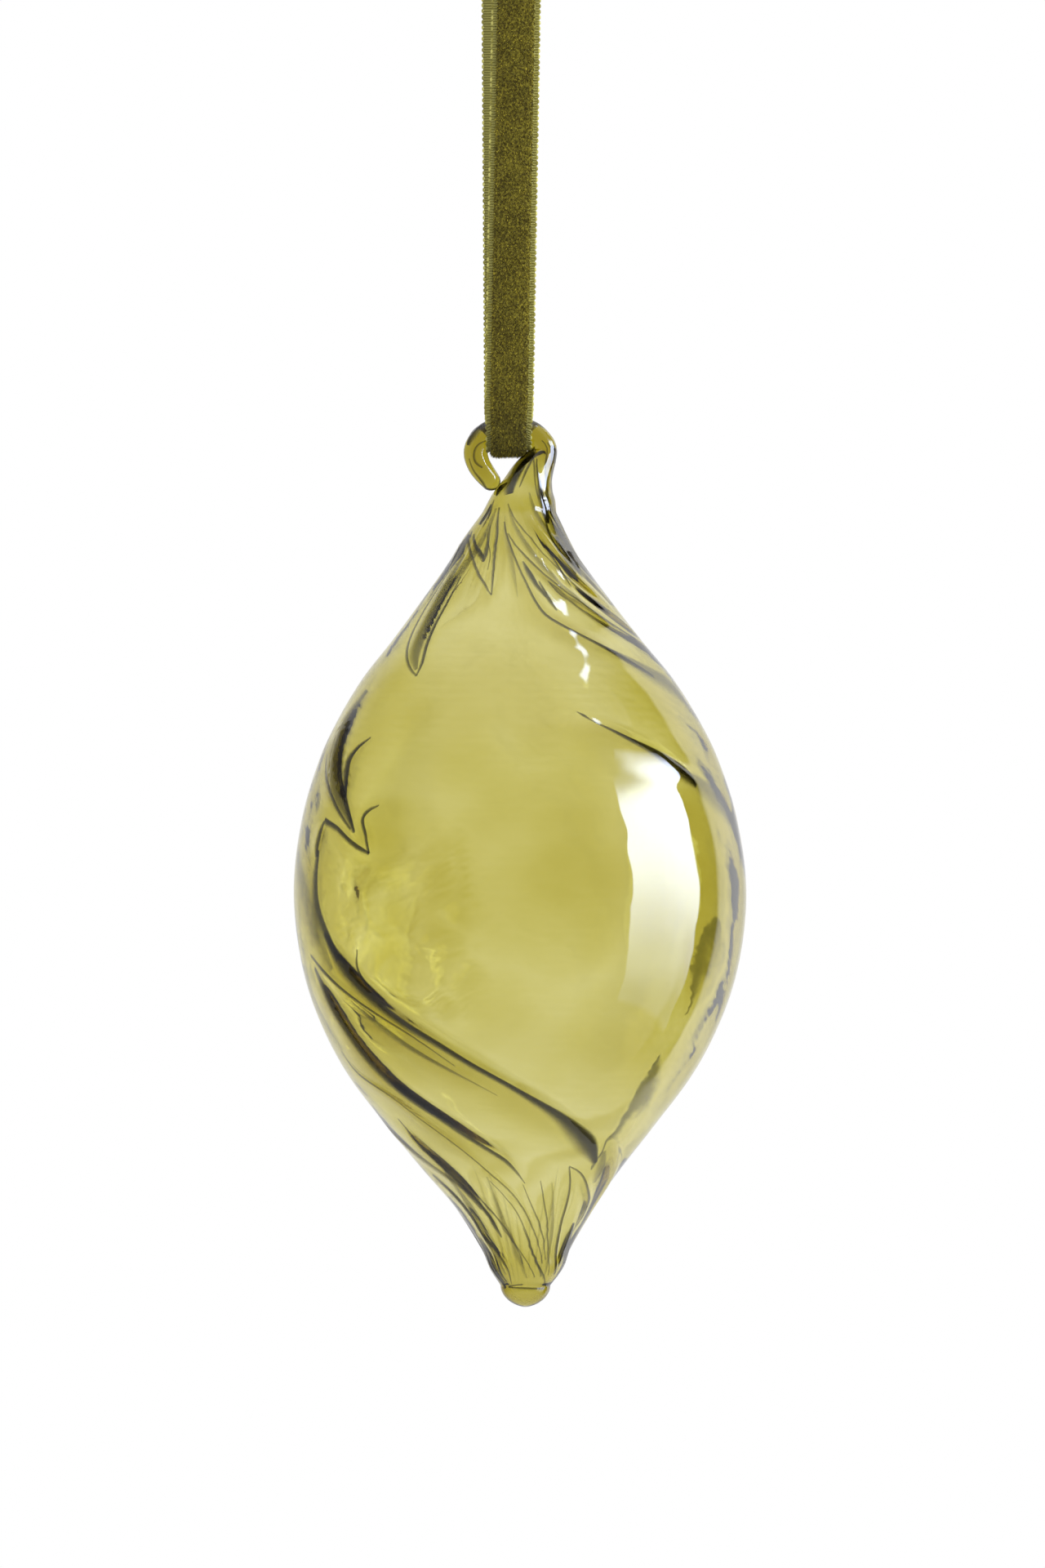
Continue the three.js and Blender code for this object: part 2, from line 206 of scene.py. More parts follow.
def through(pairs, place):
    """A smooth line through [place, value] pairs, read at many places."""
    at, value = np.array(pairs, float).T
    slope = np.gradient(value, at)
    inner = (value[2:] - value[:-2]) / (at[2:] - at[:-2])
    slope[1:-1] = inner
    place = np.clip(np.asarray(place, float), at[0], at[-1])
    i = np.clip(np.searchsorted(at, place, side="right") - 1, 0, len(at) - 2)
    span = at[i + 1] - at[i]
    t = (place - at[i]) / span
    start = (2 * t**3 - 3 * t**2 + 1) * value[i] + (t**3 - 2 * t**2 + t) * span * slope[i]
    return start + (3 * t**2 - 2 * t**3) * value[i + 1] + (t**3 - t**2) * span * slope[i + 1]


class Graph:
    """A node tree and short words to fill it. A node's inputs are values or sockets, by name, by index or in
    order. node gives the node itself, and split its three outputs. The other words for nodes give one output:
    the first, unless out names another."""

    def __init__(self, tree):
        self.tree = tree

    def join(self, value, socket):
        if isinstance(value, bpy.types.NodeSocket):
            self.tree.links.new(value, socket)
        else:
            socket.default_value = value

    def node(self, kind, inputs=(), **settings):
        made = self.tree.nodes.new(kind)
        for name, value in settings.items():
            setattr(made, name, value)
        for key, value in inputs.items() if isinstance(inputs, dict) else enumerate(inputs):
            self.join(value, made.inputs[key])
        return made

    def shade(self, kind, inputs=(), out=0, **settings):
        return self.node("ShaderNode" + kind, inputs, **settings).outputs[out]

    def geo(self, kind, inputs=(), out=0, **settings):
        return self.node("GeometryNode" + kind, inputs, **settings).outputs[out]

    def func(self, kind, inputs=(), out=0, **settings):
        return self.node("FunctionNode" + kind, inputs, **settings).outputs[out]

    def math(self, operation, *inputs, clamp=False):
        return self.shade("Math", inputs, operation=operation, use_clamp=clamp)

    def times(self, product, *others):
        for other in others:
            product = self.math("MULTIPLY", product, other)
        return product

    def plus(self, a, b):
        return self.math("ADD", a, b)

    def minus(self, a, b):
        return self.math("SUBTRACT", a, b)

    def ease(self, value, low, high, start=0.0, end=1.0):
        """value taken from low..high to start..end in a smooth step."""
        inputs = {"Value": value, "From Min": low, "From Max": high, "To Min": start, "To Max": end}
        return self.shade("MapRange", inputs, interpolation_type="SMOOTHSTEP")

    def band(self, value, rise_from, rise_to, fall_from, fall_to):
        """1 between two smooth steps and 0 outside them."""
        fall = self.ease(value, fall_from, fall_to, 1.0, 0.0)
        return self.times(self.ease(value, rise_from, rise_to), fall)

    def mix(self, factor, a, b):
        return self.shade("Mix", {"Factor": factor, 2: a, 3: b})

    def vector(self, operation, *inputs):
        return self.shade("VectorMath", inputs, operation=operation)

    def scaled(self, vector, scale):
        return self.shade("VectorMath", {0: vector, "Scale": scale}, operation="SCALE")

    def split(self, vector):
        return self.node("ShaderNodeSeparateXYZ", [vector]).outputs

    def noise(self, place, scale, detail):
        return self.shade("TexNoise", {"Vector": place, "Scale": scale, "Detail": detail})

    def attribute(self, name):
        return self.shade("Attribute", out="Fac", attribute_name=name)

    def ramp(self, value, *stops):
        """A colour ramp of two stops, each a place and a colour."""
        made = self.node("ShaderNodeValToRGB", [value])
        for element, (place, colour) in zip(made.color_ramp.elements, stops):
            element.position, element.color = place, colour
        return made.outputs[0]

    def named(self, name, kind="FLOAT"):
        return self.geo("InputNamedAttribute", [name], data_type=kind)

    def stored(self, geometry, name, value, kind="FLOAT"):
        inputs = {"Geometry": geometry, "Name": name, "Value": value}
        return self.geo("StoreNamedAttribute", inputs, data_type=kind, domain="POINT")

    def dress(self, geometry, material):
        """Ends a geometry tree with its material set."""
        self.node("NodeGroupOutput", [self.geo("SetMaterial", {"Geometry": geometry, "Material": material})])
        return self.tree


def geometry_group(name, sockets):
    """A geometry tree with a Geometry socket each way, and further inputs as a name and a kind."""
    tree = bpy.data.node_groups.new(name, "GeometryNodeTree")
    for socket, kind in {"Geometry": "Geometry", **sockets}.items():
        tree.interface.new_socket(socket, in_out="INPUT", socket_type="NodeSocket" + kind)
    tree.interface.new_socket("Geometry", in_out="OUTPUT", socket_type="NodeSocketGeometry")
    return Graph(tree), tree.nodes.new("NodeGroupInput").outputs


def mark(mesh, name, values, kind="FLOAT"):
    """Gives each point of a mesh a value, or a vector."""
    data = mesh.attributes.new(name, kind, "POINT").data
    data.foreach_set("value" if kind == "FLOAT" else "vector", np.asarray(values, np.float32).ravel())


def link_object(name, mesh):
    item = bpy.data.objects.new(name, mesh)
    bpy.context.scene.collection.objects.link(item)
    return item


def grid_faces(rows, columns, first=0, closed=True):
    """Quads over rows of points, each row closed round on itself."""
    i, j = np.meshgrid(np.arange(rows - 1), np.arange(columns if closed else columns - 1), indexing="ij")
    k = (j + 1) % columns
    quads = np.stack([i * columns + j, i * columns + k, (i + 1) * columns + k, (i + 1) * columns + j], -1)
    return quads.reshape(-1, 4) + first


def apply_tree(item, tree, values):
    """Makes an object's mesh anew by a geometry tree, whose inputs are given by name."""
    modifier = item.modifiers.new("made", "NODES")
    modifier.node_group = tree
    for socket in tree.interface.items_tree:
        if socket.in_out == "INPUT" and socket.name in values:
            modifier[socket.identifier] = values[socket.name]
    item.update_tag()
    bpy.context.view_layer.update()
    evaluated = item.evaluated_get(bpy.context.evaluated_depsgraph_get())
    mesh = bpy.data.meshes.new_from_object(evaluated)
    item.modifiers.clear()
    old = item.data
    item.data = mesh
    bpy.data.meshes.remove(old)


# The ribbon.

RIBBON_WIDTH = 6.4
RIBBON_THICKNESS = 1.0
CORD_WIDTH = 6.0
ROD_LEVEL = -65.3
ROD_RADIUS = 1.65
KNOT_LIFT, RIBBON_IN_KNOT = 3.4, 0.7
# How far the middle of the ribbon stands off the middles of the rod, the peg and the knot.
STAND_OFF = 2.85
PEG_STAND_OFF = 2.8
KNOT_STAND_OFF = 0.65
FRONT_SHIFT, BACK_SHIFT, BIGHT_SHIFT = 0.95, -0.62, -0.2
BIGHT_WIDTH = 6.0
BIGHT_HEIGHT = 3.0
ARCH_HALF_WIDTH, ARCH_RISE = 4.7, 2.9
KNOT_PINCH = 0.15


def ribbon_stations(steps=90, turns=26):
    """Middle line of the ribbon from under the knot, down in front, round under the hook's rod and up behind:
    place, the way its pile faces, and how far it is drawn in."""
    stations = []

    def strand(side, z):
        down = z / ROD_LEVEL
        shift = FRONT_SHIFT if side < 0 else BACK_SHIFT
        x = shift + (BIGHT_SHIFT - shift) * down
        y = PEG_STAND_OFF + (STAND_OFF - PEG_STAND_OFF) * min(max(down, 0), 1)
        y += (KNOT_STAND_OFF - y) * float(smooth_step(0, KNOT_LIFT, z))
        drawn = float(smooth_step(0, 1, (ROD_LEVEL + BIGHT_HEIGHT - z) / BIGHT_HEIGHT))
        return (x, side * y, z), (0, side, 0), drawn

    levels = np.linspace(KNOT_LIFT + RIBBON_IN_KNOT, ROD_LEVEL, steps)
    stations += [strand(-1, z) for z in levels[:-1]]
    for angle in np.linspace(math.pi, 2 * math.pi, turns):
        out = (0, math.cos(angle), math.sin(angle))
        stations.append(((BIGHT_SHIFT, STAND_OFF * out[1], ROD_LEVEL + STAND_OFF * out[2]), out, 1.0))
    stations += [strand(1, z) for z in levels[::-1][1:]]
    return stations


# Across the ribbon: share of its width, and how far its faces stand from the middle, pile side first.
PILE_SECTION = [
    (-0.5, 0.05), (-0.49, 0.13), (-0.46, 0.15), (-0.43, 0.11), (-0.41, 0.14), (-0.385, 0.42),
    (-0.35, 0.62), (-0.28, 0.74), (-0.15, 0.82), (0, 0.84), (0.15, 0.82), (0.28, 0.74), (0.35, 0.62),
    (0.385, 0.42), (0.41, 0.14), (0.43, 0.11), (0.46, 0.15), (0.49, 0.13), (0.5, 0.05),
    (0.49, -0.06), (0.4, -0.1), (0.2, -0.12), (-0.2, -0.12), (-0.4, -0.1), (-0.49, -0.06),
]
PILE_EDGE, PILE_FOOT = 0.4, 0.2
# Where the ribbon has bunched, its edges lie back by the first two of these multiplied, in mm, and its pile
# stands taller by the third. The last is the share of its thickness behind its middle line.
BUNCH_FOLD, BUNCH_BACK, BUNCH_SWELL, BACK_SHARE = 0.45, 0.4, 0.35, 0.3
# How bright the velvet is where nothing else marks it, on its loops, and on its brightest fibres.
BASE_TONE, LOOP_TONE, BRIGHTEST_FIBRE = 0.35, 0.6, 2.6


def sweep(stations):
    """A stretch of ribbon through stations, each with its middle, the way its pile faces, the vector across
    it, how far it has bunched up and how far each share of its width sags."""
    middles = np.array([s[0] for s in stations], float)
    run = np.concatenate([[0], np.cumsum(np.linalg.norm(np.diff(middles, axis=0), axis=1))])
    points, uvs = [], []
    for (place, out, side, bunch, sag), length in zip(stations, run):
        out = np.array(out, float)
        for across, stand in PILE_SECTION:
            fold = bunch * BUNCH_FOLD * (2 * across) ** 2
            centre = np.array(place, float) + across * np.array(side, float) + np.array([0, 0, sag(across)])
            centre = centre - out * (RIBBON_THICKNESS * BACK_SHARE + fold * BUNCH_BACK)
            points.append(centre + out * stand * (1 + BUNCH_SWELL * bunch))
            uvs.append(((across + 0.5) * RIBBON_WIDTH * MM, length * MM))
    count, around = len(stations), len(PILE_SECTION)
    faces = grid_faces(count, around)[:, ::-1].tolist()
    faces += [list(range(around)), list(range((count - 1) * around, count * around))[::-1]]
    piled = [float(abs(across) < PILE_EDGE and stand > PILE_FOOT) for across, stand in PILE_SECTION]
    rimmed = [float(abs(across) == 0.5) for across, _ in PILE_SECTION]
    # Painted shade: how far each station has bunched, where the velvet is painted darker; its pile is crushed there
    # too.
    pressed_shade = [station[3] for station in stations for _ in PILE_SECTION]
    marks = {"pile": piled * count, "rim": rimmed * count, "pressed_shade": pressed_shade}
    return points, faces, uvs, marks


def velvet_piece(name, parts):
    """One mesh of swept stretches, with its own UV map for the weave and marks for its pile, its rims and
    where it is bunched, where its pile is crushed and the velvet is painted darker as shade."""
    points, faces, uvs, marks = [], [], [], {}
    for part_points, part_faces, part_uvs, part_marks in parts:
        faces += [[k + len(points) for k in face] for face in part_faces]
        points += [tuple(p) for p in np.array(part_points) * MM]
        uvs += part_uvs
        for key, values in part_marks.items():
            marks[key] = marks.get(key, []) + values
    mesh = bpy.data.meshes.new(name)
    mesh.from_pydata(points, [], faces)
    layer = mesh.uv_layers.new(name="weave")
    for loop in mesh.loops:
        layer.data[loop.index].uv = uvs[loop.vertex_index]
    marks["tone"] = [BASE_TONE] * len(points)
    for key, values in marks.items():
        mark(mesh, key, values)
    mesh.shade_smooth()
    return link_object(name, mesh)


def unbent(across):
    """No sag: the ribbon lies straight across."""
    return 0.0


def arch_sag(drawn):
    """How the ribbon lies bent to the hook's arch where it is drawn in."""
    def sag(across):
        reach = min(abs(BIGHT_SHIFT + across * BIGHT_WIDTH) / ARCH_HALF_WIDTH, 0.999)
        return drawn * ARCH_RISE * (math.sqrt(1 - reach**2) - 1)
    return sag


def make_ribbon():
    """The ribbon, its middle line, and that line's length, in metres."""
    stations = []
    for place, out, drawn in ribbon_stations():
        width = RIBBON_WIDTH + (BIGHT_WIDTH - RIBBON_WIDTH) * drawn
        width *= 1 - KNOT_PINCH * float(smooth_step(0, KNOT_LIFT, place[2]))
        stations.append((place, out, (width, 0, 0), drawn, arch_sag(drawn)))
    places = np.array([s[0] for s in stations])
    length = float(np.linalg.norm(np.diff(places, axis=0), axis=1).sum())
    path = [tuple(p * MM) for p in places]
    return velvet_piece("ribbon", [sweep(stations)]), path, length * MM


KNOT_HEIGHT, KNOT_WIDTH, KNOT_DEPTH = 7.2, 8.4, 5.6
KNOT_MIDDLE = KNOT_LIFT + KNOT_HEIGHT / 2
TAIL_LENGTH, TAIL_CUT, TAIL_SPREAD = 11.0, 2.4, 15.0
TAIL_GATHER, TAIL_FLARE, TAIL_SUNK, TAIL_CURL, TAIL_TURN = 0.62, 0.1, 1.2, 0.9, 0.25
# Degrees that a turn of the knot goes round, how much of its inset counts in depth, and the strand inside it:
# its width and how far it starts lower.
KNOT_TURN, INSET_IN_DEPTH, HEART_WIDTH, HEART_DROP = 400, 0.6, 5.4, 0.2


def knot_turn(tilt, width, inset, begin):
    """One turn of the ribbon round the knot, tilted to the right."""
    stations = []
    reach, depth = KNOT_WIDTH / 2 - inset, KNOT_DEPTH / 2 - inset * INSET_IN_DEPTH
    for angle in np.radians(np.linspace(begin, begin + KNOT_TURN, 60)):
        place = (reach * math.cos(angle), depth * math.sin(angle), KNOT_MIDDLE + tilt * math.cos(angle))
        out = np.array([math.cos(angle) / reach, math.sin(angle) / depth, 0.0])
        out /= np.linalg.norm(out)
        stations.append((place, out, (0, 0, -width), 1.0, unbent))
    return sweep(stations)


def make_knot():
    """The overhand knot: two turns that cross, and the strand that goes up through them."""
    stations = []
    for share in np.linspace(0, 1, 20):
        height = KNOT_LIFT - HEART_DROP + KNOT_HEIGHT * share
        stations.append(((0, 0, height), (0, -1, 0), (HEART_WIDTH, 0, 0), 1.0, unbent))
    heart = sweep(stations)
    outer = knot_turn(tilt=1.3, width=3.9, inset=0.9, begin=60)
    inner = knot_turn(tilt=-1.1, width=3.4, inset=1.5, begin=200)
    return velvet_piece("knot", [outer, inner, heart])


def make_tail(name, side):
    """A free end above the knot, leaning out to its side, curling a little and cut off slantwise."""
    stations = []
    foot = KNOT_LIFT + KNOT_HEIGHT - TAIL_SUNK
    for share in np.linspace(0, 1, 26):
        up = share * (TAIL_LENGTH + TAIL_SUNK)
        bend = -side * math.radians(TAIL_SPREAD) * share
        gather = 1 - float(smooth_step(0, 0.5, share))
        width = RIBBON_WIDTH * (1 + (TAIL_GATHER - 1) * gather)
        lean = np.array([math.sin(bend), 0, math.cos(bend)])
        curl = TAIL_FLARE * up + TAIL_CURL * share**2
        place = lean * up + np.array([0, side * (KNOT_STAND_OFF + curl), foot])
        across = np.array([width * math.cos(bend), 0, -width * math.sin(bend)])
        across = across - side * share * TAIL_CUT * lean
        out = np.array([0, side, -TAIL_TURN * share])
        stations.append((place, out / np.linalg.norm(out), across, gather, unbent))
    return velvet_piece(name, [sweep(stations)])


def pile_tree():
    """Short fibres on the pile side of the ribbon, brushed downwards, and loops along its two rims."""
    floats = ("Fibres", "Length", "Thickness", "Brushed", "Loop Pitch", "Loop Radius")
    g, given = geometry_group("pile", {**dict.fromkeys(floats, "Float"), "Velvet": "Material"})
    inputs = {"Mesh": given["Geometry"], "Selection": g.math("GREATER_THAN", g.named("pile"), 0.5),
              "Density": given["Fibres"], "Seed": 7}
    spread = g.node("GeometryNodeDistributePointsOnFaces", inputs, distribute_method="RANDOM").outputs
    chance = g.func("RandomValue", {"Seed": 3}, 1, data_type="FLOAT")
    toned = g.stored(spread["Points"], "tone", g.times(g.math("POWER", chance, 3.0), BRIGHTEST_FIBRE))
    inputs = {"Min": (-FIBRE_STRAY,) * 3, "Max": (FIBRE_STRAY,) * 3, "Seed": 11}
    stray = g.func("RandomValue", inputs, data_type="FLOAT_VECTOR")
    down = g.shade("CombineXYZ", {"Z": g.times(given["Brushed"], -1.0)})
    way = g.vector("ADD", spread["Normal"], g.vector("ADD", stray, down))
    turned = g.func("AlignRotationToVector", {"Vector": way}, axis="Z")
    inputs = {"Vertices": 3, "Radius Top": 0.0, "Radius Bottom": given["Thickness"], "Depth": given["Length"]}
    fibre = g.geo("MeshCone", inputs, fill_type="NGON")
    inputs = {"Min": (0.8, 0.8, 0.6), "Max": (1.2, 1.2, 1.3), "Seed": 5}
    size = g.func("RandomValue", inputs, data_type="FLOAT_VECTOR")
    inputs = {"Points": toned, "Instance": fibre, "Rotation": turned, "Scale": size}
    fibres = g.geo("RealizeInstances", [g.geo("InstanceOnPoints", inputs)])
    fibres = g.stored(fibres, "pile", 1.0)
    rim = g.math("GREATER_THAN", g.named("rim"), 0.9)
    edges = g.geo("MeshToCurve", {"Mesh": given["Geometry"], "Selection": rim})
    spaced = g.geo("ResampleCurve", {"Curve": edges, "Length": given["Loop Pitch"]}, mode="LENGTH")
    bead = g.geo("MeshIcoSphere", {"Radius": given["Loop Radius"], "Subdivisions": 2})
    along = g.func("AlignRotationToVector", {"Vector": g.geo("InputTangent")}, axis="Z")
    inputs = {"Points": spaced, "Instance": bead, "Rotation": along, "Scale": (0.75, 0.75, 1.25)}
    loops = g.geo("RealizeInstances", [g.geo("InstanceOnPoints", inputs)])
    loops = g.stored(loops, "tone", LOOP_TONE)
    joined = g.node("GeometryNodeJoinGeometry")
    for part in (fibres, loops, given["Geometry"]):
        g.tree.links.new(part, joined.inputs[0])
    return g.dress(joined.outputs[0], given["Velvet"])


FIBRES_PER_MM2, FIBRE_LENGTH, FIBRE_RADIUS, FIBRE_BRUSHED, FIBRE_STRAY = 30.0, 0.4, 0.055, 0.7, 0.55
LOOP_PITCH, LOOP_RADIUS = 0.76, 0.24

ribbon, ribbon_path, ribbon_length = make_ribbon()
knot = make_knot()
tails = [make_tail("front_tail", -1), make_tail("back_tail", 1)]

# The glass.

TIP_Z = -184.8
AXIS_X = 1.35
BODY_RADIUS, WIDEST = 30.8, 57.0
TIP_RADIUS, TIP_HEIGHT = 3.4, 3.0
NECK_RADIUS, NECK_HEIGHT = 5.1, 108.0
WALL = 0.8
# The two cones' outlines: share of the way from the widest place to the end, and how much of the difference
# in radius is left there.
LOWER_OUTLINE = [(0, 1), (0.17, 0.97), (0.31, 0.892), (0.46, 0.745), (0.61, 0.525), (0.71, 0.366),
                 (0.81, 0.212), (0.91, 0.094), (0.96, 0.055), (1, 0)]
UPPER_OUTLINE = [(0, 1), (0.19, 0.952), (0.35, 0.853), (0.45, 0.757), (0.56, 0.622), (0.66, 0.464),
                 (0.77, 0.3), (0.87, 0.154), (0.93, 0.083), (1, 0)]
# How far the middle strays sideways: share of the height, and mm.
DRIFT = [(0, 0.4), (0.04, 0.8), (0.1, 0.75), (0.19, 0.1), (0.5, 0), (0.74, -0.25), (0.89, -0.55),
         (0.96, -0.7), (1, -0.15)]
# Degrees of twist for each mm of height, and two quicker turns: degrees before and after, and the height.
TWIST_RATE = 2.0
SWIRLS = [(31, 24), (44, 86)]
SWIRL_LENGTH = 9.0
